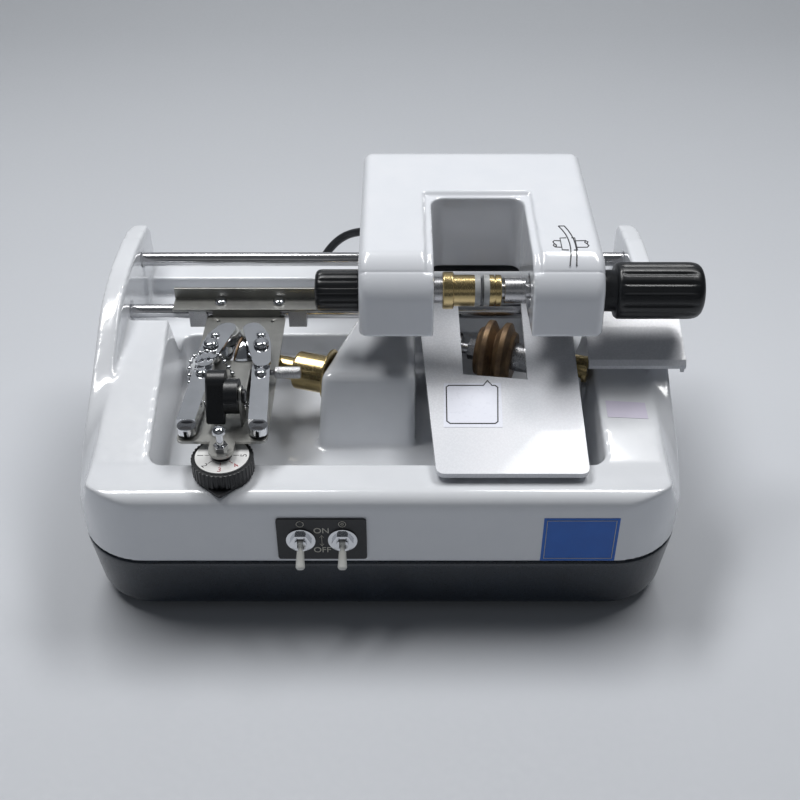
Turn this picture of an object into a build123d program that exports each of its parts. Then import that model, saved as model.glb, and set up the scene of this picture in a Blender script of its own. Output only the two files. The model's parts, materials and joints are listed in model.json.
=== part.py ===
# Tabletop lens groover: a casing with a groove wheel, a chamfer wheel and a sliding, tilting lens head.
# Millimetres. X runs to the right, Y to the back, Z up. The origin is on the table, under the middle
# of the whole machine.
import os
from math import cos, radians, sin, tan

from build123d import *

os.makedirs("parts", exist_ok=True)

# Casing
body_w = 300.0
body_d = 210.0
corner_r = 36.0
back_corner_r = 14.0
wall = 3.0
foot_h = 4.0
part_line = 40.0
base_taper = 7.0
floor_z = 60.0
ledge_z = 81.5
ledge_d = 25.0
shoulder_z = 97.0
shoulder_end = body_d - 81.0
basin_left = -113.0
basin_right = 110.0
basin_draft = 8.0
trough_z = 74.0
trough_front = body_d - 62.0
trough_back = body_d - 18.0
rear_z = 85.0
front_edge_r = 7.0
rear_edge_r = 3.0
fin_t = 11.0
hump_z = 99.0
hump_front = shoulder_end - 56.0
hump_foot = hump_front - 11.0
hump_right = 18.0

# Rods
rod_d = 8.0
front_rod_y = body_d - 70.0
front_rod_z = 95.0
back_rod_y = body_d - 30.0
back_rod_z = 105.0
fin_top = back_rod_z + 12.0
rod_seat = 5.0
end_screw_d = 7.0
end_screw_h = 1.5

# Spindles
yaw = 17.5
spindle_z = 88.0
groove_x = -73.0
groove_y = front_rod_y - 36.7
groove_wheel_d = 28.8
groove_wheel_t = 0.8
chamfer_x = 61.7
chamfer_y = front_rod_y - 31.1
chamfer_wheel_d = 35.0
chamfer_wheel_l = 20.0
spindle_d = 6.0
housing_d = 20.0
housing_l = 18.0
nose_d = 12.0
nose_l = 12.0
flange_d = 28.0
flange_t = 1.0
spindle_pulley_d = 13.0
motor_pulley_d = 22.0
pulley_w = 7.0
belt_t = 1.2
belt_w = 5.0
motor_d = 44.0
motor_l = 62.0
motor_z = 33.0

# Lens head
head_mid = 50.0
head_w = 121.0
head_left = head_mid - head_w / 2
head_right = head_mid + head_w / 2
head_wall = 2.5
head_front = front_rod_y - 67.3
head_back = back_rod_y + 25.5
head_low = front_rod_z + 27.7
head_rear_low = back_rod_z + 7.0
head_top = back_rod_z + 54.4
head_top_back = head_top + 4.0
head_round = 18.0
gap_left = 26.5
gap_right = 75.0
gap_back = front_rod_y + 10.0
gap_corner_r = 7.0
lip_w = 4.2
lip_depth = 2.0
lens_y = front_rod_y - 43.0
lens_z = front_rod_z + 40.0
lens_shaft_d = 8.0
lens_gap = 1.8
lens_middle = 51.1
pad_d = 15.9
pad_t = 2.8
left_knob_d = 21.6
left_knob_l = 21.9
right_knob_d = 29.0
right_knob_l = 44.0
right_collar_d = 21.0
right_collar_l = 7.2
clamp_travel = 8.0
cheek_t = 5.0
cheek_right = 6.5
head_edge_r = 5.0
left_pulley_x = head_left + 17.5
right_pulley_x = head_right - 19.5
pad_x = head_right - 8.0
pad_top = front_rod_z + 17.0
lay_y = back_rod_y - 12.0
lay_z = lens_z + 3.0
lay_pulley_d = 13.0
sleeve_d = 14.0
sleeve_left = head_left + 8.5
sleeve_right = head_right - 10.5
collar_r = 9.0

# Guide plate
plate_mid = -74.5
plate_w = 43.0
plate_front = 24.0
plate_back = front_rod_y - 6.0
plate_z = 95.0
plate_t = 1.5
tab_w = 12.0
dome_d = 25.0
dome_h = 5.6
slot_w = 2.6
window_w = 12.0
window_l = 25.8
arm_w = 9.0
arm_h = 7.5
arm_front = 30.0
arm_back = front_rod_y - 68.0
arm_splay = 4.0
pivot_y = front_rod_y - 50.0
pivot_x = 13.0
link_t = 1.5
disc_d = 13.2
disc_t = 1.8
disc_y = front_rod_y - 34.0
disc_x = 6.9
disc_pin_d = 3.0
rest_x = -74.0
rest_y = 18.5
rest_d = 3.5
spring_y = 48.0
spring_z = 100.5
spring_l = 21.8
thumb_z = 102.0
chain_wire_d = 0.8
chain_ball_d = 2.4
chain_balls = 13
selector_y = 41.0
selector_z = 110.5
selector_d = 26.0
selector_t = 9.0

# Dial
dial_x = -74.0
dial_y = 19.0
dial_d = 29.5
dial_h = 8.0
dial_face_t = 0.8
dial_hub_d = 9.5
pointer_t = 1.5

# Inside and below the casing
boss_d = 10.0
boss_screw_d = 3.2
boss_h = 14.0
foot_x = 112.0
foot_y = 42.0
foot_d = 16.0
pillar_u = -6.0
pillar_t = 6.0
pillar_half = 7.5
bearing_d = 10.0
bush_u = 62.0
bush_l = 14.0
bush_d = 14.0
groove_pulley_u = -46.0
chamfer_pulley_u = 3.5
bearing_w = 6.0
collar_d = 15.0
collar_l = 12.0
dial_stem_d = 5.0
pad_y = 6.4
guard_lip = 8.0
socket_x = 95.0
socket_z = 60.0
socket_w = 28.0
socket_h = 32.0

# Cover plate and side guard
cover_post_left = 30.0
cover_post_right = 94.0
cover_post_y = shoulder_end - 17.0
cover_front = 11.7
cover_back = shoulder_end + 4.0
cover_front_z = 87.0
cover_slope = 8.2
cover_t = 3.0
guard_left = body_w / 2 - 43.0
guard_right = body_w / 2 + 7.0
guard_front = shoulder_end - 45.0
guard_back = shoulder_end - 9.0
guard_t = 2.0

# Front switches and the back wall's socket and cable
switch_mid = -27.3
switch_w = 42.8
switch_h = 26.0
switch_z = 56.5
switch_t = 1.0
toggle_pitch = 20.0
toggle_washer_d = 14.0
toggle_l = 13.0
toggle_cap_r = 2.35
toggle_neck_r = 1.7
toggle_pivot_r = 1.4
toggle_reach = 12.7
cable_d = 5.2
cable_x = -46.0
cable_z = 50.0
cable_end_x = head_left + 14.5
cable_end_y = back_rod_y + 20.0
cable_end_z = 98.0

# Fits
gap = 0.3
run = 0.05

# Placing: the casing's middle plane and front, seen from the origin between all the outer faces
socket_rim = 2.0
knob_end = head_right + gap + right_collar_l + right_knob_l
mid = -(knob_end - body_w / 2 - end_screw_h) / 2
front = -(body_d + socket_rim - toggle_reach) / 2


def plan(z):
    """A level plane at height z: sketch x is across, sketch y is back from the casing's front."""
    return Plane(origin=(mid, front, z))


def side(x):
    """An upright plane at x that looks left: sketch x is back, sketch y is height."""
    return Plane(origin=(mid + x, front, 0), x_dir=(0, 1, 0), z_dir=(1, 0, 0))


def facing(y):
    """An upright plane at y that looks forward: sketch x is across, sketch y is height."""
    return Plane(origin=(mid, front + y, 0), x_dir=(1, 0, 0), z_dir=(0, -1, 0))


# The cover plate's top face: sketch x is across, sketch y runs up its slope from its front edge
cover_angle = radians(cover_slope)
cover_l = (cover_back - cover_front) / cos(cover_angle)
cover_plane = Plane(
    origin=(mid, front + cover_front, cover_front_z),
    x_dir=(1, 0, 0),
    z_dir=(0, -sin(cover_angle), cos(cover_angle)),
)


def cover_height(along_slope):
    """Height of the cover plate's top at a distance up its slope."""
    return cover_front_z + along_slope * sin(cover_angle)


def x_bar(y, z, radius, start, end, bore=0.0):
    """A round bar or tube that lies across the machine."""
    with BuildPart() as piece:
        with BuildSketch(side(start)):
            with Locations((y, z)):
                Circle(radius)
                if bore:
                    Circle(bore, mode=Mode.SUBTRACT)
        extrude(amount=end - start)
    return piece.part


def z_bar(x, y, radius, start, end, bore=0.0):
    """A round bar or tube that stands upright."""
    with BuildPart() as piece:
        with BuildSketch(plan(start)):
            with Locations((x, y)):
                Circle(radius)
                if bore:
                    Circle(bore, mode=Mode.SUBTRACT)
        extrude(amount=end - start)
    return piece.part


def block(x_span, y_span, z_span):
    """A square block between two places each way."""
    with BuildPart() as piece:
        with BuildSketch(plan(z_span[0])):
            with Locations((sum(x_span) / 2, sum(y_span) / 2)):
                Rectangle(x_span[1] - x_span[0], y_span[1] - y_span[0])
        extrude(amount=z_span[1] - z_span[0])
    return piece.part


def domed(x, y, z, radius, height):
    """A screw's domed head with its middle on a level face at z."""
    with BuildPart() as piece:
        with BuildSketch(plan(z)):
            with Locations((x, y)):
                Circle(radius)
        extrude(amount=height)
        fillet(piece.faces().sort_by(Axis.Z)[-1].edges(), radius=height * 0.85)
    return piece.part


def footprint(inset=0.0):
    """The casing's outline from above, with wide corners at the front and small ones at the back."""
    with Locations((0, body_d / 2)):
        Rectangle(body_w - 2 * inset, body_d - 2 * inset)
    fillet(vertices().sort_by(Axis.Y)[:2], radius=corner_r - inset)
    fillet(vertices().group_by(Axis.Y)[-1], radius=back_corner_r - inset)


def corner_radii(route):
    """The largest arcs that fit at a route's corners."""
    radii = []
    for before, corner, after in zip(route, route[1:], route[2:]):
        turn = radians((corner - before).get_angle(after - corner))
        radii.append(0.45 * min((corner - before).length, (after - corner).length) / tan(turn / 2))
    return radii


def finish(part, label):
    """Label a piece and write it."""
    part.label = label
    export_step(part, f"parts/{label}.step")


# Plan positions along and across the turned spindle axes
yaw_cos = cos(radians(yaw))
yaw_sin = sin(radians(yaw))


def turned(x, y):
    """Distances along and across the spindles' direction."""
    return x * yaw_cos - y * yaw_sin, x * yaw_sin + y * yaw_cos


def unturned(u, v):
    """The place across and back at those distances."""
    return u * yaw_cos + v * yaw_sin, -u * yaw_sin + v * yaw_cos


def across_spindle(u, v, z):
    """A plane square to the spindles: sketch x is back, sketch y is up, and it looks along them."""
    x, y = unturned(u, v)
    return Plane(origin=(mid + x, front + y, z), x_dir=(yaw_sin, yaw_cos, 0), z_dir=(yaw_cos, -yaw_sin, 0))


def u_bar(v, z, radius, start, end, bore=0.0):
    """A round bar or tube along a spindle's direction."""
    with BuildPart() as piece:
        with BuildSketch(across_spindle(start, v, z)):
            Circle(radius)
            if bore:
                Circle(bore, mode=Mode.SUBTRACT)
        extrude(amount=end - start)
    return piece.part


groove_u, groove_v = turned(groove_x, groove_y)
chamfer_u, chamfer_v = turned(chamfer_x, chamfer_y)
motor_v = (groove_v + chamfer_v) / 2
hump_face_u = groove_u + 49.0


def hump_left(y, inset=0.0):
    """The hump's turned left wall at a distance y from the front."""
    return (hump_face_u + inset + y * yaw_sin) / yaw_cos


# Base tray
with BuildPart() as base_tray:
    with BuildSketch(plan(part_line)):
        footprint()
    extrude(amount=-(part_line - foot_h), taper=base_taper)
    fillet(base_tray.faces().sort_by(Axis.Z)[0].edges(), radius=7)
    with BuildSketch(plan(part_line)):
        footprint(wall)
    extrude(amount=-(part_line - foot_h - wall), taper=base_taper, mode=Mode.SUBTRACT)
    screw_places = [(x, y) for x in (-body_w / 2 + 28, body_w / 2 - 28) for y in (28, body_d - 28)]
    with BuildSketch(plan(foot_h + wall)):
        with Locations(*screw_places):
            Circle(5)
    extrude(amount=part_line - foot_h - wall)
    with BuildSketch(plan(foot_h)):
        with Locations(*screw_places):
            Circle(2 + run)
    extrude(amount=part_line - foot_h, mode=Mode.SUBTRACT)
    with BuildSketch(plan(foot_h)):
        with Locations(*screw_places):
            Circle(4)
    extrude(amount=6, mode=Mode.SUBTRACT)
finish(base_tray.part, "base_tray")

# Upper casing: ledge, shoulders, trough and hump, with a fin on each side
inner_fin = body_w / 2 - fin_t
casing_top = fin_top + 2


def shoulder_height(y):
    """Height of the shoulders' sloping top at a distance y from the front."""
    return ledge_z + (shoulder_z - ledge_z) * (y - ledge_d) / (shoulder_end - ledge_d)


def casing_profile(drop=0.0):
    """Side outline of the middle of the casing, drawn drop below its outer faces."""
    Polyline(
        (drop, part_line),
        (drop, ledge_z - drop),
        (ledge_d, ledge_z - drop),
        (shoulder_end - drop, shoulder_z - drop),
        (shoulder_end + 3 - drop, trough_z - drop),
        (trough_back + drop, trough_z - drop),
        (trough_back + drop, rear_z - drop),
        (body_d - drop, rear_z - drop),
        (body_d - drop, part_line),
        close=True,
    )


# The fin's rim: how far back in shares of the casing's depth, and how far below the fin's top
fin_rim = [
    (0, 73),
    (0.157, 57),
    (0.229, 44.4),
    (0.295, 37),
    (0.39, 26.5),
    (0.486, 15.5),
    (0.557, 7.5),
    (0.629, 3),
    (0.738, 0),
    (0.857, 0),
]


def fin_profile(meets_shoulder):
    """Side outline of a fin, whose inner side is nowhere lower than the shoulder beside it."""
    rim = [(body_d * share, fin_top - drop) for share, drop in fin_rim]
    if meets_shoulder:
        rim = [(y, max(z, shoulder_height(y))) for y, z in rim]
    Spline(*rim)
    Polyline(rim[-1], (body_d - 6, fin_top - 2.5), (body_d, fin_top - 9), (body_d, part_line))
    Polyline((body_d, part_line), (0, part_line), rim[0])


# The hump's outer form, and the room inside it, in which the wheels' drive pulleys turn
hump_back = shoulder_end + 2
with BuildPart() as hump_form:
    with BuildSketch(side(-60)):
        Polygon(
            (hump_foot, floor_z - wall),
            (hump_front, hump_z),
            (hump_back, hump_z),
            (hump_back, floor_z - wall),
            align=None,
        )
    extrude(amount=60 + hump_right)
    with BuildSketch(plan(floor_z - wall)):
        Polygon(
            (hump_left(0), 0), (80, 0), (80, body_d), (hump_left(body_d), body_d), align=None
        )
    extrude(amount=60, mode=Mode.INTERSECT)
    fillet(hump_form.edges().filter_by_position(Axis.Z, floor_z, hump_z, (False, False)), radius=4)
    fillet(hump_form.faces().sort_by(Axis.Z)[-1].edges(), radius=4)

with BuildPart() as hump_room:
    with BuildSketch(side(-60)):
        Polygon(
            (hump_foot + wall, part_line),
            (hump_front + wall, hump_z - wall),
            (hump_back - wall, hump_z - wall),
            (hump_back - wall, part_line),
            align=None,
        )
    extrude(amount=60 + hump_right - wall)
    with BuildSketch(plan(part_line)):
        Polygon(
            (hump_left(0, wall), 0), (80, 0), (80, body_d), (hump_left(body_d, wall), body_d), align=None
        )
    extrude(amount=60, mode=Mode.INTERSECT)

with BuildPart() as upper_casing:
    with BuildSketch(side(-inner_fin)):
        with BuildLine():
            casing_profile()
        make_face()
        fillet(vertices().group_by(Axis.X)[0].sort_by(Axis.Y)[-1], radius=front_edge_r)
        fillet(vertices().group_by(Axis.X)[-1].sort_by(Axis.Y)[-1], radius=rear_edge_r)
    extrude(amount=2 * inner_fin)
    for edge_x in (-body_w / 2, body_w / 2):
        with BuildSketch(side(edge_x)):
            with BuildLine():
                fin_profile(False)
            make_face()
        with BuildSketch(side(edge_x * inner_fin / (body_w / 2))):
            with BuildLine():
                fin_profile(True)
            make_face()
        loft(ruled=True)
    with BuildSketch(plan(part_line)):
        footprint()
    extrude(amount=casing_top - part_line, mode=Mode.INTERSECT)
    with BuildSketch(plan(floor_z)):
        Polygon(
            (basin_left + 4, ledge_d + 3),
            (basin_right - 3, ledge_d + 3),
            (basin_right - 3, trough_front - 2),
            (basin_left + 1, trough_front - 2),
            align=None,
        )
        fillet(vertices(), radius=5)
    extrude(amount=casing_top - floor_z, taper=-basin_draft, mode=Mode.SUBTRACT)
    add(hump_form.part)
    with BuildSketch(plan(part_line)):
        footprint(wall)
    extrude(amount=floor_z - wall - part_line, mode=Mode.SUBTRACT)
    add(hump_room.part, mode=Mode.SUBTRACT)
    # Rooms under the shoulders, the ledge, the trough and the back rim
    for room_left, room_right in (
        (-inner_fin, basin_left - 6),
        (basin_right + 6, inner_fin),
    ):
        with BuildSketch(side(room_left)):
            Polygon(
                (corner_r, part_line),
                (corner_r, shoulder_height(corner_r) - wall),
                (shoulder_end - wall, shoulder_height(shoulder_end - wall) - wall),
                (shoulder_end - wall, part_line),
                align=None,
            )
        extrude(amount=room_right - room_left, mode=Mode.SUBTRACT)
    with BuildSketch(side(basin_left + 6)):
        Polygon(
            (wall, part_line),
            (wall, ledge_z - wall),
            (ledge_d - 2, ledge_z - wall),
            (ledge_d - 2, part_line),
            align=None,
        )
    extrude(amount=basin_right - basin_left - 12, mode=Mode.SUBTRACT)
    with BuildSketch(side(-inner_fin)):
        Polygon(
            (trough_front + wall, part_line),
            (trough_front + wall, trough_z - wall),
            (trough_back + wall, trough_z - wall),
            (trough_back + wall, rear_z - wall),
            (body_d - wall, rear_z - wall),
            (body_d - wall, part_line),
            align=None,
        )
    extrude(amount=2 * inner_fin, mode=Mode.SUBTRACT)
    # Bosses for the screws that come up through the base tray
    for boss_x, boss_y in screw_places:
        with BuildSketch(plan(part_line)):
            with Locations((boss_x, boss_y)):
                Circle(boss_d / 2)
        extrude(amount=(floor_z if boss_y < body_d / 2 else trough_z) - wall - part_line)
    # Pillars for the chamfer spindle's bearing and bush, and posts under the back of the cover plate
    with BuildSketch(plan(floor_z)):
        with Locations(unturned(pillar_u, chamfer_v)):
            Rectangle(pillar_t, 2 * pillar_half, rotation=-yaw)
    extrude(amount=spindle_z - floor_z + pillar_half)
    with BuildSketch(plan(floor_z)):
        with Locations(unturned(bush_u + bush_l / 2, chamfer_v)):
            Rectangle(bush_l - 4, bush_d + 6, rotation=-yaw)
    extrude(amount=spindle_z - floor_z)
    with BuildSketch(cover_plane.offset(-cover_t)):
        with Locations((cover_post_left, cover_post_y), (cover_post_right, cover_post_y)):
            Circle(4)
    extrude(amount=-(cover_height(cover_post_y) - cover_t - floor_z))
    # Openings: belt slots, bearing seats, rod seats, end screws, switches, dial stem and back wall
    slot_x, slot_y = unturned(chamfer_pulley_u, (motor_v + chamfer_v) / 2 + 4)
    with BuildSketch(plan(floor_z - wall)):
        with Locations((slot_x, slot_y)):
            Rectangle(pulley_w + 3, chamfer_v - motor_v + 16, rotation=-yaw)
    extrude(amount=wall, mode=Mode.SUBTRACT)
    with BuildSketch(across_spindle(hump_face_u, groove_v, spindle_z)):
        Circle(nose_d / 2 + run)
    extrude(amount=2 * wall, mode=Mode.SUBTRACT)
    with BuildSketch(across_spindle(pillar_u - 2 * pillar_t, chamfer_v, spindle_z)):
        Circle(bearing_d / 2)
    extrude(amount=4 * pillar_t, mode=Mode.SUBTRACT)
    with BuildSketch(across_spindle(bush_u, chamfer_v, spindle_z)):
        Circle(bush_d / 2)
    extrude(amount=bush_l, mode=Mode.SUBTRACT)
    for rod_y, rod_z in ((front_rod_y, front_rod_z), (back_rod_y, back_rod_z)):
        with BuildSketch(side(-inner_fin - rod_seat)):
            with Locations((rod_y, rod_z)):
                Circle(rod_d / 2 + run)
        extrude(amount=2 * (inner_fin + rod_seat), mode=Mode.SUBTRACT)
        with BuildSketch(side(-body_w / 2)):
            with Locations((rod_y, rod_z)):
                Circle(2 + run)
        extrude(amount=body_w, mode=Mode.SUBTRACT)
    with BuildSketch(plan(part_line)):
        with Locations(*screw_places):
            Circle(boss_screw_d / 2)
    extrude(amount=boss_h, mode=Mode.SUBTRACT)
    with BuildSketch(facing(wall)):
        with Locations((switch_mid, switch_z)):
            with GridLocations(toggle_pitch, 0, 2, 1):
                Circle(3.1)
    extrude(amount=wall, mode=Mode.SUBTRACT)
    with BuildSketch(plan(part_line)):
        with Locations((dial_x, dial_y)):
            Circle(dial_stem_d / 2 + run)
    extrude(amount=ledge_z - part_line, mode=Mode.SUBTRACT)
    with BuildSketch(facing(body_d)):
        with Locations((cable_x, cable_z)):
            Circle(4 + run)
        with Locations((socket_x, socket_z)):
            Rectangle(socket_w, socket_h)
    extrude(amount=wall, mode=Mode.SUBTRACT)
finish(upper_casing.part, "upper_casing")

# Feet
with BuildPart() as rubber_feet:
    with BuildSketch(plan(0)):
        with Locations(*((x, y) for x in (-foot_x, foot_x) for y in (foot_y, body_d - foot_y))):
            Circle(foot_d / 2)
    extrude(amount=foot_h)
finish(rubber_feet.part, "rubber_feet")

# Screws: four up through the base tray, four into the rods' ends
with BuildPart() as casing_screws:
    with BuildSketch(plan(foot_h + 2)):
        with Locations(*screw_places):
            Circle(3.4)
    extrude(amount=4)
    with BuildSketch(plan(foot_h + 6)):
        with Locations(*screw_places):
            Circle(boss_screw_d / 2)
    extrude(amount=part_line - foot_h - 6 + boss_h - 2)
    for edge in (-1, 1):
        for rod_y, rod_z in ((front_rod_y, front_rod_z), (back_rod_y, back_rod_z)):
            with BuildSketch(side(edge * body_w / 2)):
                with Locations((rod_y, rod_z)):
                    Circle(end_screw_d / 2)
            extrude(amount=edge * end_screw_h)
            with BuildSketch(side(edge * body_w / 2)):
                with Locations((rod_y, rod_z)):
                    Circle(2)
            extrude(amount=-edge * (fin_t - rod_seat + 6))
finish(casing_screws.part, "casing_screws")

# Rods
with BuildPart() as slide_rods:
    with BuildSketch(side(-inner_fin - rod_seat)):
        with Locations((front_rod_y, front_rod_z), (back_rod_y, back_rod_z)):
            Circle(rod_d / 2)
    extrude(amount=2 * (inner_fin + rod_seat))
    with BuildSketch(side(-inner_fin - rod_seat), side(inner_fin + rod_seat - 8)):
        with Locations((front_rod_y, front_rod_z), (back_rod_y, back_rod_z)):
            Circle(2 + run)
    extrude(amount=8, mode=Mode.SUBTRACT)
finish(slide_rods.part, "slide_rods")

# Switch plate on the front wall, with the toggles' bodies behind it and their nuts in front
with BuildPart() as switch_plate:
    with BuildSketch(facing(0)):
        with Locations((switch_mid, switch_z)):
            RectangleRounded(switch_w, switch_h, 1.5)
            with GridLocations(toggle_pitch, 0, 2, 1):
                Circle(3.1, mode=Mode.SUBTRACT)
    extrude(amount=switch_t)
finish(switch_plate.part, "switch_plate")

with BuildPart() as toggle_bodies:
    with BuildSketch(facing(wall)):
        with Locations((switch_mid, switch_z)):
            with GridLocations(toggle_pitch, 0, 2, 1):
                Rectangle(13, 13)
    extrude(amount=-14)
    with BuildSketch(facing(wall)):
        with Locations((switch_mid, switch_z)):
            with GridLocations(toggle_pitch, 0, 2, 1):
                Circle(3)
    extrude(amount=wall + switch_t + 4)
    with BuildSketch(facing(-switch_t)):
        with Locations((switch_mid, switch_z)):
            with GridLocations(toggle_pitch, 0, 2, 1):
                Circle(toggle_washer_d / 2)
    extrude(amount=0.8)
    with BuildSketch(facing(-switch_t - 0.8)):
        with Locations((switch_mid, switch_z)):
            with GridLocations(toggle_pitch, 0, 2, 1):
                RegularPolygon(5.2, 6)
    extrude(amount=2)
    with BuildSketch(facing(-switch_t + 4)):
        with Locations((switch_mid, switch_z)):
            with GridLocations(toggle_pitch, 0, 2, 1):
                Rectangle(3, 6)
    extrude(amount=9, mode=Mode.SUBTRACT)
finish(toggle_bodies.part, "toggle_bodies")

# Toggle levers: a pivot barrel in the bush, a stem and a tapering cap that points down
lever_y = -switch_t - 2
lever_lean = radians(45)
for lever_name, lever_x in (
    ("power_toggle", switch_mid - toggle_pitch / 2),
    ("wheel_toggle", switch_mid + toggle_pitch / 2),
):
    lever_plane = Plane(
        origin=(mid + lever_x, front + lever_y, switch_z),
        x_dir=(1, 0, 0),
        z_dir=(0, -cos(lever_lean), -sin(lever_lean)),
    )
    with BuildPart() as lever:
        add(x_bar(lever_y, switch_z, toggle_pivot_r, lever_x - toggle_pivot_r, lever_x + toggle_pivot_r))
        with BuildSketch(lever_plane):
            Circle(toggle_pivot_r - 0.3)
        extrude(amount=5)
        with BuildSketch(lever_plane.offset(4)):
            Circle(toggle_neck_r)
        with BuildSketch(lever_plane.offset(toggle_l)):
            Circle(toggle_cap_r)
        loft()
        fillet(lever.faces().sort_by(Axis.Y)[0].edges(), radius=toggle_cap_r * 0.7)
    finish(lever.part, lever_name)

# Motor below the recess, with its saddle on the tray's floor and a bore for the shaft
motor_left = 10.0
motor_x, motor_y = unturned(motor_left + motor_l / 2, motor_v)
with BuildPart() as wheel_motor:
    add(u_bar(motor_v, motor_z, motor_d / 2, motor_left, motor_left + motor_l))
    with BuildSketch(plan(foot_h + wall)):
        with Locations((motor_x, motor_y)):
            Rectangle(motor_l * 0.7, motor_d * 0.7, rotation=-yaw)
    extrude(amount=motor_z - foot_h - wall - 10)
    add(u_bar(motor_v, motor_z, spindle_d / 2 + run, motor_left, motor_left + 12), mode=Mode.SUBTRACT)
finish(wheel_motor.part, "wheel_motor")

with BuildPart() as motor_pulley:
    add(u_bar(motor_v, motor_z, spindle_d / 2, groove_pulley_u - 3, motor_left + 10))
    for pulley_u in (groove_pulley_u, chamfer_pulley_u - pulley_w / 2):
        add(u_bar(motor_v, motor_z, motor_pulley_d / 2, pulley_u, pulley_u + pulley_w))
finish(motor_pulley.part, "motor_pulley")


def belt(plane, start, end, start_radius, end_radius):
    """A flat belt round two pulleys, just clear of both."""
    with BuildPart() as loop:
        for grow, mode in ((belt_t, Mode.ADD), (0, Mode.SUBTRACT)):
            with BuildSketch(plane):
                with Locations(start):
                    Circle(start_radius + gap + grow)
                with Locations(end):
                    Circle(end_radius + gap + grow)
                make_hull()
            extrude(amount=belt_w, mode=mode)
    return loop.part


# Drive belts from the motor's shaft to the two spindles
with BuildPart() as drive_belts:
    for belt_u, belt_v in ((groove_pulley_u + pulley_w / 2, groove_v), (chamfer_pulley_u, chamfer_v)):
        add(
            belt(
                across_spindle(belt_u - belt_w / 2, belt_v, spindle_z),
                (0, 0),
                (motor_v - belt_v, motor_z - spindle_z),
                spindle_pulley_d / 2,
                motor_pulley_d / 2,
            )
        )
finish(drive_belts.part, "drive_belts")

# Housing of the groove spindle: nose, body, flange on the hump's wall and a spigot through it
nose_start = groove_u + 18.0
body_start = nose_start + nose_l
flange_start = body_start + housing_l
flange_end = flange_start + flange_t
with BuildPart() as groove_housing:
    add(u_bar(groove_v, spindle_z, nose_d / 2, nose_start, body_start))
    add(u_bar(groove_v, spindle_z, housing_d / 2, body_start, flange_start))
    fillet(
        groove_housing.edges().filter_by(GeomType.CIRCLE).group_by(SortBy.RADIUS)[-1].sort_by(Axis.X)[0],
        radius=1.5,
    )
    add(u_bar(groove_v, spindle_z, flange_d / 2, flange_start, flange_end))
    add(u_bar(groove_v, spindle_z, nose_d / 2, flange_end, flange_end + wall + 1))
    add(u_bar(groove_v, spindle_z, spindle_d / 2 + 0.5, nose_start, flange_end + wall + 1), mode=Mode.SUBTRACT)
    for bearing_u in (nose_start, flange_end + wall + 1 - bearing_w):
        add(u_bar(groove_v, spindle_z, bearing_d / 2, bearing_u, bearing_u + bearing_w), mode=Mode.SUBTRACT)
finish(groove_housing.part, "groove_housing")

with BuildPart() as spindle_bearings:
    for bearing_v, bearing_u in (
        (groove_v, nose_start),
        (groove_v, flange_end + wall + 1 - bearing_w),
        (chamfer_v, pillar_u - bearing_w / 2),
    ):
        add(u_bar(bearing_v, spindle_z, bearing_d / 2, bearing_u, bearing_u + bearing_w, spindle_d / 2 + run))
finish(spindle_bearings.part, "spindle_bearings")

with BuildPart() as chamfer_bush:
    add(u_bar(chamfer_v, spindle_z, bush_d / 2, bush_u, bush_u + bush_l, spindle_d / 2 + run))
    fillet(chamfer_bush.edges().filter_by(GeomType.CIRCLE).group_by(SortBy.RADIUS)[-1].sort_by(Axis.X)[0], radius=1)
finish(chamfer_bush.part, "chamfer_bush")

# Groove spindle and its thin wheel
wheel_face = groove_u + groove_wheel_t / 2
with BuildPart() as groove_spindle:
    add(u_bar(groove_v, spindle_z, spindle_d / 2, groove_u - 4, groove_pulley_u + pulley_w + 2))
    add(u_bar(groove_v, spindle_z, 4.2, groove_u - 3.4, groove_u - groove_wheel_t / 2))
    add(u_bar(groove_v, spindle_z, 5.5, wheel_face, nose_start - 0.6))
    add(u_bar(groove_v, spindle_z, spindle_pulley_d / 2, groove_pulley_u, groove_pulley_u + pulley_w))
finish(groove_spindle.part, "groove_spindle")

with BuildPart() as groove_wheel:
    add(
        u_bar(
            groove_v,
            spindle_z,
            groove_wheel_d / 2,
            groove_u - groove_wheel_t / 2,
            groove_u + groove_wheel_t / 2,
            spindle_d / 2,
        )
    )
finish(groove_wheel.part, "groove_wheel")

# Chamfer spindle with pulley, nut and set-screw collar, and its two-coned wheel
cone_left = chamfer_u - chamfer_wheel_l / 2
cone_right = chamfer_u + chamfer_wheel_l / 2
with BuildPart() as chamfer_spindle:
    add(u_bar(chamfer_v, spindle_z, spindle_d / 2, pillar_u - pillar_t / 2, bush_u + bush_l))
    add(
        u_bar(
            chamfer_v,
            spindle_z,
            spindle_pulley_d / 2,
            chamfer_pulley_u - pulley_w / 2,
            chamfer_pulley_u + pulley_w / 2,
        )
    )
    with BuildSketch(across_spindle(cone_left - 5, chamfer_v, spindle_z)):
        RegularPolygon(5.6, 6)
    extrude(amount=5)
    add(u_bar(chamfer_v, spindle_z, collar_d / 2, cone_right, cone_right + collar_l))
    with BuildSketch(plan(spindle_z)):
        with Locations(unturned(cone_right + collar_l / 2, chamfer_v)):
            Circle(1.5)
    extrude(amount=collar_d, mode=Mode.SUBTRACT)
finish(chamfer_spindle.part, "chamfer_spindle")

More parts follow.
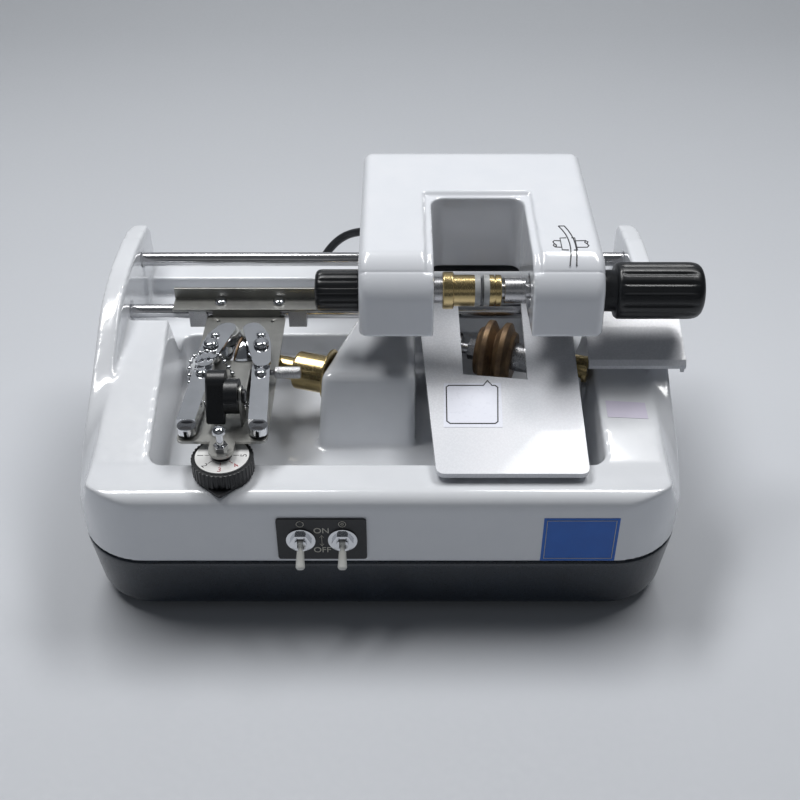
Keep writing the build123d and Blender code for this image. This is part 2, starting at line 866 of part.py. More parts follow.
wheel_r = chamfer_wheel_d / 2
with BuildPart() as chamfer_wheel:
    with BuildSketch(
        Plane(
            origin=across_spindle(cone_left, chamfer_v, spindle_z).origin,
            x_dir=(yaw_cos, -yaw_sin, 0),
            z_dir=(yaw_sin, yaw_cos, 0),
        )
    ):
        Polygon(
            (0, spindle_d / 2),
            (0, wheel_r - 5),
            (2, wheel_r - 4),
            (chamfer_wheel_l * 0.2, wheel_r),
            (chamfer_wheel_l * 0.34, wheel_r),
            (chamfer_wheel_l * 0.5, wheel_r - 5),
            (chamfer_wheel_l * 0.66, wheel_r),
            (chamfer_wheel_l * 0.8, wheel_r),
            (chamfer_wheel_l - 2, wheel_r - 4),
            (chamfer_wheel_l, wheel_r - 5),
            (chamfer_wheel_l, spindle_d / 2),
            align=None,
        )
    revolve(axis=Axis(across_spindle(cone_left, chamfer_v, spindle_z).origin, (yaw_cos, -yaw_sin, 0)))
finish(chamfer_wheel.part, "chamfer_wheel")

# Cover plate over the chamfer recess, notched round the wheel, and the pads under its front
with BuildPart() as cover_plate:
    with BuildSketch(cover_plane):
        Polygon(
            (27.2, 0),
            (99.4, 0),
            (101.5, cover_l - 31.3),
            (102.3, cover_l),
            (20, cover_l),
            (21.5, cover_l - 31.3),
            align=None,
        )
        fillet(vertices().group_by(Axis.Y)[0], radius=4)
        Polygon(
            (42.3, cover_l - 55.5),
            (75, cover_l - 59.3),
            (76.3, cover_l + 5),
            (41.6, cover_l + 5),
            align=None,
            mode=Mode.SUBTRACT,
        )
    extrude(amount=-cover_t)
finish(cover_plate.part, "cover_plate")

with BuildPart() as cover_pads:
    with BuildSketch(cover_plane.offset(-cover_t)):
        with Locations((36, pad_y), (92, pad_y)):
            Circle(4)
    extrude(amount=-(cover_front_z - ledge_z + 3))
    split(bisect_by=plan(ledge_z), keep=Keep.TOP)
finish(cover_pads.part, "cover_pads")

# Side guard: a bent sheet on two ribs, with a lip outside the fin
guard_low = 101.5
guard_mid = 107.0
guard_high = 114.5
guard_bend = guard_front + 16
guard_rim = [
    (guard_front - 2, guard_low - 2.5),
    (guard_front, guard_low),
    (guard_bend, guard_mid),
    (guard_back, guard_high),
]
with BuildPart() as side_guard:
    with BuildSketch(side(guard_left)):
        Polygon(*guard_rim, *((y, z - guard_t) for y, z in reversed(guard_rim)), align=None)
    extrude(amount=guard_right - guard_left)
    with BuildSketch(side(guard_right - guard_t)):
        Polygon(
            *guard_rim[1:],
            (guard_back, guard_high - guard_lip),
            (guard_front, guard_low - guard_lip),
            align=None,
        )
    extrude(amount=guard_t)
    with BuildSketch(side(guard_left + 6), side(guard_left + 27)):
        Polygon(
            (guard_bend - 2, shoulder_height(guard_bend - 2)),
            (guard_bend, guard_mid - 1),
            (guard_back - 1, guard_high - 1.5),
            (guard_back - 1, shoulder_height(guard_back - 1)),
            align=None,
        )
    extrude(amount=2)
finish(side_guard.part, "side_guard")

# Depth dial on the ledge: a V-shaped pointer plate, a knurled dial with a hub, and its scale
with BuildPart() as dial_pointer:
    with BuildSketch(plan(ledge_z)):
        with Locations((dial_x, dial_y)):
            Circle(dial_d / 2 - 1)
        with Locations((dial_x, 1.6)):
            Circle(1)
        make_hull()
        with Locations((dial_x, dial_y)):
            Circle(dial_stem_d / 2 + run, mode=Mode.SUBTRACT)
    extrude(amount=pointer_t)
finish(dial_pointer.part, "dial_pointer")

dial_low = ledge_z + pointer_t + gap
dial_top = dial_low + dial_h
with BuildPart() as depth_dial:
    with BuildSketch(plan(dial_low)):
        with Locations((dial_x, dial_y)):
            Circle(dial_d / 2)
            with PolarLocations(dial_d / 2 + 0.3, 40):
                Circle(0.75, mode=Mode.SUBTRACT)
    extrude(amount=dial_h)
    add(z_bar(dial_x, dial_y, dial_hub_d / 2, dial_top, plate_z - gap))
    fillet(depth_dial.faces().sort_by(Axis.Z)[-1].edges(), radius=0.8)
    add(z_bar(dial_x, dial_y, dial_stem_d / 2, ledge_z - 8, dial_low))
    add(z_bar(dial_x, dial_y, 3.6, ledge_z - wall - gap - 3, ledge_z - wall - gap))
finish(depth_dial.part, "depth_dial")

with BuildPart() as dial_face:
    add(z_bar(dial_x, dial_y, dial_d / 2 - 2, dial_top, dial_top + dial_face_t, dial_hub_d / 2))
finish(dial_face.part, "dial_face")

# Mains socket, gland and the supply on the tray's floor
with BuildPart() as power_inlet:
    with BuildSketch(facing(body_d + socket_rim)):
        with Locations((socket_x, socket_z)):
            RectangleRounded(socket_w + 8, socket_h + 8, 3)
    extrude(amount=socket_rim)
    with BuildSketch(facing(body_d)):
        with Locations((socket_x, socket_z)):
            Rectangle(socket_w, socket_h)
    extrude(amount=wall + 10)
    with BuildSketch(facing(body_d + socket_rim)):
        with Locations((socket_x, socket_z - 6)):
            RectangleRounded(socket_w - 5, socket_h * 0.45, 2)
    extrude(amount=12, mode=Mode.SUBTRACT)
    with BuildSketch(facing(body_d + socket_rim - 12)):
        with Locations((socket_x, socket_z - 6)):
            with GridLocations(7, 0, 3, 1):
                Rectangle(1.6, 4.5)
    extrude(amount=-9)
    with BuildSketch(facing(body_d + socket_rim)):
        with Locations((socket_x, socket_z + 9.5)):
            SlotOverall(socket_w - 8, 8)
    extrude(amount=1.2, mode=Mode.SUBTRACT)
finish(power_inlet.part, "power_inlet")

with BuildPart() as power_supply:
    add(block((-130, -60), (70, 140), (foot_h + wall + 5, foot_h + wall + 6.6)))
    for post_x in (-126, -64):
        for post_y in (74, 136):
            add(z_bar(post_x, post_y, 3, foot_h + wall, foot_h + wall + 5))
    add(block((-124, -84), (80, 128), (foot_h + wall + 6.6, foot_h + wall + 36)))
    add(block((-78, -66), (84, 120), (foot_h + wall + 6.6, foot_h + wall + 24)))
finish(power_supply.part, "power_supply")

gland_face = body_d + 4.0
with BuildPart() as cable_gland:
    with BuildSketch(facing(body_d)):
        with Locations((cable_x, cable_z)):
            Circle(4)
    extrude(amount=wall + 3)
    with BuildSketch(facing(body_d)):
        with Locations((cable_x, cable_z)):
            RegularPolygon(5.8, 6)
    extrude(amount=-(gland_face - body_d))
finish(cable_gland.part, "cable_gland")

# Guide plate: a window for the wheel, its back edge bent up to the bracket, with a lug for the selector
bracket_z = front_rod_z + rod_d / 2 + 0.5
lug_x = plate_mid + 8
with BuildPart() as guide_plate:
    with BuildSketch(plan(plate_z)):
        with Locations((plate_mid, (plate_front + plate_back) / 2)):
            RectangleRounded(plate_w, plate_back - plate_front, 3)
        with Locations((rest_x, plate_front)):
            Rectangle(tab_w, 2 * (plate_front - rest_y))
        with Locations((rest_x, rest_y)):
            Circle(tab_w / 2)
            Circle(rest_d / 2, mode=Mode.SUBTRACT)
        with Locations((groove_x, groove_y)):
            Rectangle(window_w, window_l, mode=Mode.SUBTRACT)
        with Locations((plate_mid, plate_back - 6.6)):
            with GridLocations(29.4, 0, 2, 1):
                Circle(1, mode=Mode.SUBTRACT)
    extrude(amount=plate_t)
    add(
        block(
            (plate_mid - plate_w / 2 + 3, plate_mid + plate_w / 2 - 3),
            (plate_back - plate_t, plate_back),
            (plate_z, bracket_z),
        )
    )
    with BuildSketch(side(lug_x)):
        with Locations((selector_y, selector_z)):
            Circle(5.5)
        Polygon(
            (selector_y - 5.5, selector_z),
            (selector_y - 5.5, plate_z + plate_t),
            (arm_back + 4, plate_z + plate_t),
            (arm_back + 4, 101),
            (arm_back, 104),
            (selector_y + 9, 104),
            (selector_y + 5.5, selector_z),
            align=None,
        )
        with Locations((selector_y, selector_z)):
            Circle(2 + run, mode=Mode.SUBTRACT)
        with Locations((spring_y, spring_z)):
            Circle(3, mode=Mode.SUBTRACT)
    extrude(amount=1.2)
finish(guide_plate.part, "guide_plate")

# Bracket across the back of the guide plate, and the two blocks that hang it on the front rod
bracket_span = (plate_mid - 40.5, plate_mid + 38.5)
bracket_back = front_rod_y + 5.0
with BuildPart() as hinge_bracket:
    add(block(bracket_span, (plate_back - plate_t, bracket_back), (bracket_z, bracket_z + plate_t)))
    add(block(bracket_span, (bracket_back - plate_t, bracket_back), (bracket_z, bracket_z + 8)))
finish(hinge_bracket.part, "hinge_bracket")

with BuildPart() as hinge_blocks:
    for block_x in (plate_mid - plate_w / 2 - 5.3, plate_mid + plate_w / 2 + 6.5):
        add(block((block_x - 5, block_x + 5), (front_rod_y - 7, front_rod_y + 7), (front_rod_z - 6, bracket_z)))
    add(x_bar(front_rod_y, front_rod_z, rod_d / 2 + run, -body_w / 2, 0), mode=Mode.SUBTRACT)
finish(hinge_blocks.part, "hinge_blocks")

# Screws on the bracket, and the posts on which the arms swing
arm_mid = plate_mid + 0.1
post_top = plate_z + plate_t + 1 + arm_h + link_t
with BuildPart() as plate_screws:
    for screw_x in (-89, -57):
        add(domed(screw_x, front_rod_y - 0.5, bracket_z + plate_t, 3.4, 2.2))
    for post_side in (-1, 1):
        add(z_bar(arm_mid + post_side * pivot_x, pivot_y, 2.5, plate_z + plate_t, post_top + gap))
        add(domed(arm_mid + post_side * pivot_x, pivot_y, post_top + gap, 4, 2.4))
finish(plate_screws.part, "plate_screws")

with BuildPart() as rest_screw:
    add(z_bar(rest_x, rest_y, rest_d / 2, plate_z, 106.5))
    with BuildSketch(plan(plate_z + plate_t)):
        with Locations((rest_x, rest_y)):
            RegularPolygon(3.5, 6)
    extrude(amount=2.5)
    add(domed(rest_x, rest_y, 106.5, 3.25, 3))
finish(rest_screw.part, "rest_screw")

# Dome over the groove wheel, in two halves with room for the wheel between them
dome_low = plate_z + plate_t + 0.6
dome_r = ((dome_d / 2) ** 2 + (dome_h - 0.6) ** 2) / (2 * (dome_h - 0.6))
with BuildPart() as dome_cap:
    for shell_r, mode in ((dome_r, Mode.ADD), (dome_r - 1, Mode.SUBTRACT)):
        with Locations((mid + groove_x, front + groove_y, dome_low + dome_h - 0.6 - dome_r)):
            Sphere(shell_r, mode=mode)
    split(bisect_by=plan(dome_low), keep=Keep.TOP)
    add(z_bar(groove_x, groove_y, dome_d / 2 + 2, plate_z + plate_t, dome_low, dome_d / 2 - 1.2))
    with BuildSketch(plan(plate_z)):
        with Locations((groove_x, groove_y)):
            Rectangle(slot_w, dome_d + 10, rotation=-yaw)
    extrude(amount=dome_h + plate_t + 2, mode=Mode.SUBTRACT)
finish(dome_cap.part, "dome_cap")

# Ball chain over the left arm, from the plate's edge to its middle
chain_route = [
    Vector(mid + x, front + arm_back + y, z)
    for x, y, z in (
        (-95.2, -9, 97.7),
        (-95.8, -3, 104),
        (-95.4, 4, 108.2),
        (-89, 9.5, 109),
        (-82, 8, 108.6),
        (-75.5, 5, 97.7),
    )
]
with BuildPart() as ball_chain:
    with BuildLine() as chain_line:
        FilletPolyline(*chain_route, radius=corner_radii(chain_route))
    with BuildSketch(Plane(origin=chain_line.line @ 0, z_dir=chain_line.line % 0)):
        Circle(chain_wire_d / 2)
    sweep(path=chain_line.line)
    with Locations(*(chain_line.line @ (i / (chain_balls - 1)) for i in range(chain_balls))):
        Sphere(chain_ball_d / 2)
finish(ball_chain.part, "ball_chain")

# Spring between the arms, through the lug
with BuildPart() as arm_spring:
    with BuildLine() as spring_line:
        Helix(
            pitch=spring_l / 14,
            height=spring_l,
            radius=1.7,
            center=(mid + arm_mid - spring_l / 2, front + spring_y, spring_z),
            direction=(1, 0, 0),
        )
    with BuildSketch(Plane(origin=spring_line.line @ 0, z_dir=spring_line.line % 0)):
        Circle(0.3)
    sweep(path=spring_line.line)
finish(arm_spring.part, "arm_spring")

# Arms: a tapering bar with a slotted front end, a link over it and a sleeve round its post
arm_low = plate_z + plate_t + 1
arm_top = arm_low + arm_h
disc_z = arm_top + link_t / 2 - 1.05 - disc_t
for arm_name, disc_name, hand in (("left_arm", "left_guide_disc", -1), ("right_arm", "right_guide_disc", 1)):
    bar_in = pivot_x - 3
    bar_out = bar_in + arm_w
    with BuildPart() as arm:
        with BuildSketch(plan(arm_low)):
            Polygon(
                *(
                    (arm_mid + hand * dx, y)
                    for dx, y in (
                        (bar_in, arm_back + 6),
                        (bar_out, arm_back + 6),
                        (bar_out, arm_back),
                        (bar_out + arm_splay - 1.5, arm_front),
                        (bar_in + arm_splay - 1.5, arm_front),
                        (bar_in, arm_back),
                    )
                ),
                align=None,
            )
        extrude(amount=arm_h)
        tip_x = arm_mid + hand * (bar_in + arm_w / 2 + arm_splay - 1.5)
        add(z_bar(tip_x, arm_front, arm_w / 2, arm_low, arm_low + arm_h / 2))
        with BuildSketch(plan(arm_low)):
            with Locations((tip_x, arm_front - 3)):
                SlotOverall(8, 1.6, rotation=90)
        extrude(amount=arm_h / 2, mode=Mode.SUBTRACT)
        add(z_bar(arm_mid + hand * pivot_x, pivot_y, 4, arm_low, arm_top))
        with BuildSketch(plan(arm_top)):
            for dx, y, r in (
                (bar_in + 4.6, 76, 4.5), (pivot_x, pivot_y, 5), (pivot_x - 1, 99, 4), (disc_x, disc_y, 5)
            ):
                with Locations((arm_mid + hand * dx, y)):
                    Circle(r)
            make_hull()
        extrude(amount=link_t)
        with BuildSketch(plan(arm_low)):
            with Locations((arm_mid + hand * pivot_x, pivot_y)):
                Circle(2.5 + run)
        extrude(amount=arm_h + link_t, mode=Mode.SUBTRACT)
        add(domed(arm_mid + hand * (bar_in + 4.7), 67.5, arm_top, 3, 2))
        add(domed(arm_mid + hand * (pivot_x - 1), 99, arm_top + link_t, 2.4, 1.6))
        add(z_bar(arm_mid + hand * disc_x, disc_y, disc_pin_d / 2, disc_z - 0.6, arm_top))
        add(z_bar(arm_mid + hand * disc_x, disc_y, disc_pin_d / 2 + 0.7, disc_z - 0.7, disc_z - gap))
        if hand > 0:
            add(
                x_bar(arm_back, thumb_z, 1.5 + run, arm_mid + bar_in - 1, arm_mid + bar_out + 1),
                mode=Mode.SUBTRACT,
            )
    finish(arm.part, arm_name)
    with BuildPart() as disc:
        add(
            z_bar(
                arm_mid + hand * disc_x, disc_y, disc_d / 2, disc_z, disc_z + disc_t, disc_pin_d / 2 + run
            )
        )
        fillet(disc.edges().filter_by(GeomType.CIRCLE).group_by(SortBy.RADIUS)[-1], radius=0.4)
    finish(disc.part, disc_name)

# Thumb screw in the right arm
with BuildPart() as thumb_screw:
    thumb_face = arm_mid + pivot_x - 3 + arm_w
    add(x_bar(arm_back, thumb_z, 1.5, thumb_face - arm_w + 1, thumb_face + 2.4))
    with BuildSketch(side(thumb_face + 2.4)):
        with Locations((arm_back, thumb_z)):
            Circle(3.15)
            with PolarLocations(3.25, 16):
                Circle(0.35, mode=Mode.SUBTRACT)
    extrude(amount=13)
finish(thumb_screw.part, "thumb_screw")

# Selector: a pointed blade on a hub, its shaft through the lug
blade_right = lug_x - gap - 6.5
tip_r = selector_d / 2 + 0.5
with BuildPart() as selector_knob:
    with BuildSketch(side(blade_right - selector_t)):
        with Locations((selector_y + 4.1, selector_z + 4.6)):
            Circle(6.5)
        with Locations((selector_y - 0.66 * (tip_r - 1), selector_z - 0.75 * (tip_r - 1))):
            Circle(1)
        make_hull()
    extrude(amount=selector_t)
    chamfer(selector_knob.faces().sort_by(Axis.X)[0].edges(), length=0.8)
    add(x_bar(selector_y, selector_z, 8.5, blade_right, lug_x - gap))
    add(x_bar(selector_y, selector_z, 2, lug_x - gap, lug_x + 1.2 + gap))
    add(x_bar(selector_y, selector_z, 3.4, lug_x + 1.2 + gap, lug_x + 2.4 + gap))
finish(selector_knob.part, "selector_knob")

# Carriage: a sleeve on the back rod, a collar beside each of the head's arms, and the cable's block
arm_left = head_left + 24.5
arm_right = head_right - 26.5
arm_t = 5.0
with BuildPart() as slide_sleeve:
    add(x_bar(back_rod_y, back_rod_z, sleeve_d / 2, sleeve_left, sleeve_right))
    add(x_bar(back_rod_y, back_rod_z, collar_r, arm_left - gap - 3.7, arm_left - gap))
    add(x_bar(back_rod_y, back_rod_z, collar_r, arm_right + arm_t + gap, arm_right + arm_t + gap + 3.7))
    add(
        block(
            (cable_end_x - 6, cable_end_x + 6),
            (back_rod_y + 3, cable_end_y),
            (cable_end_z - 5, cable_end_z + 5),
        )
    )
    add(
        x_bar(back_rod_y, back_rod_z, rod_d / 2 + run, sleeve_left, sleeve_right), mode=Mode.SUBTRACT
    )
finish(slide_sleeve.part, "slide_sleeve")


def head_side(inset=0.0, drop=0.0):
    """Side outline of the lens head, set in from its outer faces and carried down below its open side."""
    Polygon(
        (head_front + inset, head_low - drop),
        (gap_back, head_low - 4.7 - drop),
        (head_back - inset, head_rear_low - drop),
        (head_back - inset, head_top_back + 0.4 - inset),
        (head_front + 6.1 + inset, head_top - 0.65 - inset),
        align=None,
    )
    fillet(vertices().sort_by(Axis.Y)[-1], radius=11.5 - inset)
    fillet(vertices().sort_by(Axis.Y)[-1], radius=head_round - inset)


with BuildPart() as head_room:
    with BuildSketch(side(head_left + head_wall)):
        head_side(head_wall, 3)
    extrude(amount=head_right - head_left - 2 * head_wall)
    add(
        block(
            (gap_left - cheek_t, gap_right + cheek_right),
            (head_front - 5, gap_back + cheek_t),
            (head_rear_low - 10, head_top_back + 10),
        ),
        mode=Mode.SUBTRACT,
    )

# Head shell: open below, a slot in its front for the lens, and a shallow step round the slot
post_places = [
    (x, y)
    for x in (head_left + 12.5, head_right - 12.5)
    for y in (lens_y + 15, back_rod_y + 6)
]
frame_top = head_top - 8.4
with BuildPart() as head_shell:
    with BuildSketch(side(head_left)):
        head_side()
    extrude(amount=head_right - head_left)
    rim_edges = [
        edge
        for face in (head_shell.faces().sort_by(Axis.X)[0], head_shell.faces().sort_by(Axis.X)[-1])
        for edge in face.edges()
        if edge.center().Z > head_low + 1
    ]
    fillet(rim_edges, radius=head_edge_r)
    add(head_room.part, mode=Mode.SUBTRACT)
    for post_x, post_y in post_places:
        add(z_bar(post_x, post_y, 3.5, frame_top, head_top + (post_y - head_front) * 0.04 - 2))
    with BuildSketch(plan(head_rear_low - 10)):
        with Locations(((gap_left + gap_right) / 2, (head_front - 5 + gap_back) / 2)):
            Rectangle(gap_right - gap_left, gap_back - head_front + 5)
        fillet(vertices().group_by(Axis.Y)[-1], radius=gap_corner_r)
    extrude(amount=head_top_back - head_rear_low + 20, mode=Mode.SUBTRACT)
    with BuildSketch(side(gap_left - lip_w)):
        Polygon(
            (head_front - 5, head_top - lip_depth - 0.9),
            (gap_back + lip_w - 1, head_top - lip_depth + 2.35),
            (gap_back + lip_w - 1, head_top_back + 10),
            (head_front - 5, head_top_back + 10),
            align=None,
        )
    extrude(amount=gap_right - gap_left + 2 * lip_w, mode=Mode.SUBTRACT)
    add(x_bar(lens_y, lens_z, 5, head_left - 1, head_left + head_wall + 1), mode=Mode.SUBTRACT)
    add(x_bar(lens_y, lens_z, 5, head_right - head_wall - 1, head_right + 1), mode=Mode.SUBTRACT)
    add(x_bar(lens_y, lens_z, 5.5, gap_left - cheek_t - 1, gap_left + 1), mode=Mode.SUBTRACT)
    add(x_bar(lens_y, lens_z, 7, gap_right - 1, gap_right + cheek_right + 1), mode=Mode.SUBTRACT)
    add(
        block(
            (cable_end_x - 9, cable_end_x + 9),
            (head_back - head_wall - 1, head_back + 1),
            (head_rear_low - 1, back_rod_z + 25),
        ),
        mode=Mode.SUBTRACT,
    )
finish(head_shell.part, "head_shell")

# Frame inside the head: top plate, bearing plates, two forked arms over the sleeve and the stop's arm
frame_left = head_left + 4.5
frame_right = head_right - 4.5
frame_front = lens_y - 9
with BuildPart() as head_frame:
    add(block((frame_left, frame_right), (frame_front, back_rod_y + 15), (frame_top - 3, frame_top)))
    add(
        block(
            (gap_left - cheek_t - gap, gap_right + cheek_right + gap),
            (frame_front - 1, gap_back + cheek_t + gap),
            (frame_top - 4, frame_top + 1),
        ),
        mode=Mode.SUBTRACT,
    )
    for plate_left in (
        frame_left,
        gap_left - cheek_t - gap - 3,
        gap_right + cheek_right + gap,
        frame_right - 3,
    ):
        add(block((plate_left, plate_left + 3), (lens_y - 12, lens_y + 13), (lens_z - 10, frame_top)))
    for arm_x in (arm_left, arm_right):
        add(
            block(
                (arm_x, arm_x + arm_t),
                (back_rod_y - sleeve_d / 2 - 1.5, back_rod_y + sleeve_d / 2 + 5),
                (back_rod_z - sleeve_d / 2 - 4, frame_top),
            )
        )
    add(block((pad_x - 4.75, pad_x + 4.75), (front_rod_y - 4, front_rod_y + 4), (pad_top, frame_top)))
    add(x_bar(lens_y, lens_z, lens_shaft_d / 2 + run, head_left, head_right), mode=Mode.SUBTRACT)
    add(
        block(
            (head_left, head_right),
            (back_rod_y - sleeve_d / 2 - run, back_rod_y + sleeve_d / 2 + run),
            (head_low - 60, back_rod_z + sleeve_d / 2 + run),
        ),
        mode=Mode.SUBTRACT,
    )
finish(head_frame.part, "head_frame")

# Pad that stops the head on the front rod
with BuildPart() as stop_pad:
    add(
        block(
            (pad_x - 4.75, pad_x + 4.75),
            (front_rod_y - 6, front_rod_y + 6),
            (front_rod_z + rod_d / 2 + gap, pad_top),
        )
    )
finish(stop_pad.part, "stop_pad")

# Lens motor round the layshaft, the layshaft with its pulleys, and the two belts to the lens shafts
with BuildPart() as lens_motor:
    add(x_bar(lay_y, lay_z, 9.5, 30, 74))
    add(block((40, 64), (lay_y - 8, lay_y + 8), (lay_z, frame_top - 3)))
    add(x_bar(lay_y, lay_z, 3 + run, 29, 75), mode=Mode.SUBTRACT)
finish(lens_motor.part, "lens_motor")

with BuildPart() as layshaft:
    add(x_bar(lay_y, lay_z, 3, left_pulley_x - 3, right_pulley_x + pulley_w - 1 + 2))
    for pulley_x in (left_pulley_x, right_pulley_x):
        add(x_bar(lay_y, lay_z, lay_pulley_d / 2, pulley_x, pulley_x + pulley_w - 1))
finish(layshaft.part, "layshaft")

with BuildPart() as head_belts:
    for pulley_x in (left_pulley_x, right_pulley_x):
        add(
            belt(
                side(pulley_x + (pulley_w - 1 - belt_w) / 2),
                (lens_y, lens_z),
                (lay_y, lay_z),
                lay_pulley_d / 2,
                lay_pulley_d / 2,
            )
        )
finish(head_belts.part, "head_belts")

# Left lens shaft with its pulley and flange, and the brass clamp, the pad and the knob on it
left_pad_x = lens_middle - lens_gap / 2 - pad_t
with BuildPart() as left_lens_shaft:
    add(x_bar(lens_y, lens_z, lens_shaft_d / 2, head_left - 19.5, gap_left + 0.6))
    add(x_bar(lens_y, lens_z, lay_pulley_d / 2, left_pulley_x, left_pulley_x + pulley_w - 1))
    add(x_bar(lens_y, lens_z, 6.75, gap_left + 0.6, gap_left + 4.8))
    add(x_bar(lens_y, lens_z, 3, gap_left + 4.8, left_pad_x - 2))
finish(left_lens_shaft.part, "left_lens_shaft")

with BuildPart() as left_clamp:
    add(x_bar(lens_y, lens_z, 9.45, gap_left + 4.8, gap_left + 10.4))
    fillet(left_clamp.edges().filter_by(GeomType.CIRCLE), radius=0.8)
    add(x_bar(lens_y, lens_z, pad_d / 2, gap_left + 10.4, left_pad_x))
    add(x_bar(lens_y, lens_z, 3, gap_left + 4.8, left_pad_x - 2), mode=Mode.SUBTRACT)
finish(left_clamp.part, "left_clamp")

for pad_name, pad_start in (("left_lens_pad", left_pad_x), ("right_lens_pad", left_pad_x + pad_t + lens_gap)):
    with BuildPart() as lens_pad:
        add(x_bar(lens_y, lens_z, pad_d / 2, pad_start, pad_start + pad_t))
    finish(lens_pad.part, pad_name)

with BuildPart() as left_knob:
    with BuildSketch(side(head_left - gap - left_knob_l)):
        with Locations((lens_y, lens_z)):
            Circle(left_knob_d / 2)
            with PolarLocations(left_knob_d / 2 + 0.4, 20):
                Circle(1.1, mode=Mode.SUBTRACT)
    extrude(amount=left_knob_l)
    chamfer(left_knob.faces().sort_by(Axis.X)[0].edges(), length=0.6)
    add(x_bar(lens_y, lens_z, lens_shaft_d / 2, head_left - 19.5, head_left), mode=Mode.SUBTRACT)
finish(left_knob.part, "left_knob")

# Right drive sleeve, in which the right lens shaft slides, and what the shaft carries
right_pad_x = left_pad_x + pad_t + lens_gap
bearing_inner = gap_right + cheek_right + gap + 3
with BuildPart() as right_drive_sleeve:
    add(x_bar(lens_y, lens_z, 5.5, bearing_inner + gap, frame_right - 3 - gap))
    add(x_bar(lens_y, lens_z, lay_pulley_d / 2, right_pulley_x, right_pulley_x + pulley_w - 1))
    add(x_bar(lens_y, lens_z, lens_shaft_d / 2 + run, bearing_inner, frame_right), mode=Mode.SUBTRACT)
finish(right_drive_sleeve.part, "right_drive_sleeve")

clamp_right = right_pad_x + pad_t
knob_face = head_right + gap
with BuildPart() as right_lens_shaft:
    add(x_bar(lens_y, lens_z, lens_shaft_d / 2, clamp_right + 3, knob_face + right_collar_l + 30))
finish(right_lens_shaft.part, "right_lens_shaft")

with BuildPart() as right_lens_flange:
    add(x_bar(lens_y, lens_z, 6.3, clamp_right + 7.6, gap_right - 2, lens_shaft_d / 2))
finish(right_lens_flange.part, "right_lens_flange")

with BuildPart() as right_clamp:
    add(x_bar(lens_y, lens_z, pad_d / 2, clamp_right, clamp_right + 6.1))
    fillet(right_clamp.faces().sort_by(Axis.X)[-1].edges(), radius=0.8)
    add(
        x_bar(lens_y, lens_z, pad_d / 2 + 1, clamp_right + 2.4, clamp_right + 3.2, pad_d / 2 - 1),
        mode=Mode.SUBTRACT,
    )
    add(x_bar(lens_y, lens_z, lens_shaft_d / 2, clamp_right + 3, clamp_right + 7), mode=Mode.SUBTRACT)
finish(right_clamp.part, "right_clamp")

with BuildPart() as right_knob:
    with BuildSketch(side(knob_face + right_collar_l)):
        with Locations((lens_y, lens_z)):
            Circle(right_knob_d / 2)
            with PolarLocations(right_knob_d / 2 + 2.2, 9):
                Circle(3.6, mode=Mode.SUBTRACT)
    extrude(amount=right_knob_l)
    fillet(right_knob.faces().sort_by(Axis.X)[-1].edges(), radius=1.2)
    add(x_bar(lens_y, lens_z, right_collar_d / 2, knob_face, knob_face + right_collar_l))
    add(
        x_bar(lens_y, lens_z, lens_shaft_d / 2, knob_face, knob_face + right_collar_l + 30), mode=Mode.SUBTRACT
    )
finish(right_knob.part, "right_knob")

# Cable from the gland round to the carriage's block: runs joined by arcs as large as the runs allow
cable_route = [
    Vector(mid + x, front + y, z)
    for x, y, z in (
        (cable_x, gland_face, cable_z),
        (cable_x, body_d + 25, cable_z),
        (cable_x + 5, body_d + 36, cable_z + 17),
        (cable_x + 18, body_d + 35, cable_z + 34),
        (cable_end_x - 16, body_d + 25, cable_end_z - 4),
        (cable_end_x, body_d + 10, cable_end_z),
        (cable_end_x, cable_end_y, cable_end_z),
    )
]
with BuildPart() as head_cable:
    with BuildLine() as cable_line:
        FilletPolyline(*cable_route, radius=corner_radii(cable_route))
    with BuildSketch(Plane(origin=cable_line.line @ 0, z_dir=cable_line.line % 0)):
        Circle(cable_d / 2)
    sweep(path=cable_line.line)
finish(head_cable.part, "head_cable")
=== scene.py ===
import json
from math import cos, pi, radians, sin

import bmesh
import bpy
from mathutils import Matrix, Vector


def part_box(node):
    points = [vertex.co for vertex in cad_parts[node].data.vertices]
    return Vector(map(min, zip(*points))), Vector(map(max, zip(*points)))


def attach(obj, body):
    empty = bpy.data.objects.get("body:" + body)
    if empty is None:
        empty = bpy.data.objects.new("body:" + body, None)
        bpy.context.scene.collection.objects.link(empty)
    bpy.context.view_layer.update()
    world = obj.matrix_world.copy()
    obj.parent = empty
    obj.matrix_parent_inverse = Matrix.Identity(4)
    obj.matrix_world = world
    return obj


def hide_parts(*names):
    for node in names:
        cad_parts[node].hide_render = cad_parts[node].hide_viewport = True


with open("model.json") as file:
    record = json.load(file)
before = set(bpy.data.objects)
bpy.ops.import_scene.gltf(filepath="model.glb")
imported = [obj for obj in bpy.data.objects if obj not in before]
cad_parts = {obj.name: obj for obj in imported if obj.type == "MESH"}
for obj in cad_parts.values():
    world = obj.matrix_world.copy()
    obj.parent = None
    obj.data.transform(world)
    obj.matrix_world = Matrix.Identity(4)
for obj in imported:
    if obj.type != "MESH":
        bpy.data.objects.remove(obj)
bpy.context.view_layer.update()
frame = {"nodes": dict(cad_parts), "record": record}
nodes = frame["nodes"]
body_of = {node: body for body, names in frame["record"]["behaviour"]["bodies"].items() for node in names}

# The casing's middle plane and front in this frame, and its main places, measured from them
MID = -0.00525
FRONT = -0.09965
FULL_TURN = 2 * pi


def at(x, y, z):
    """A place in the frame, from millimetres across from the casing's middle, back from its front, up."""
    return Vector((MID + x / 1000, FRONT + y / 1000, z / 1000))


def linked(name, data):
    """A new object in the scene."""
    obj = bpy.data.objects.new(name, data)
    bpy.context.scene.collection.objects.link(obj)
    return obj


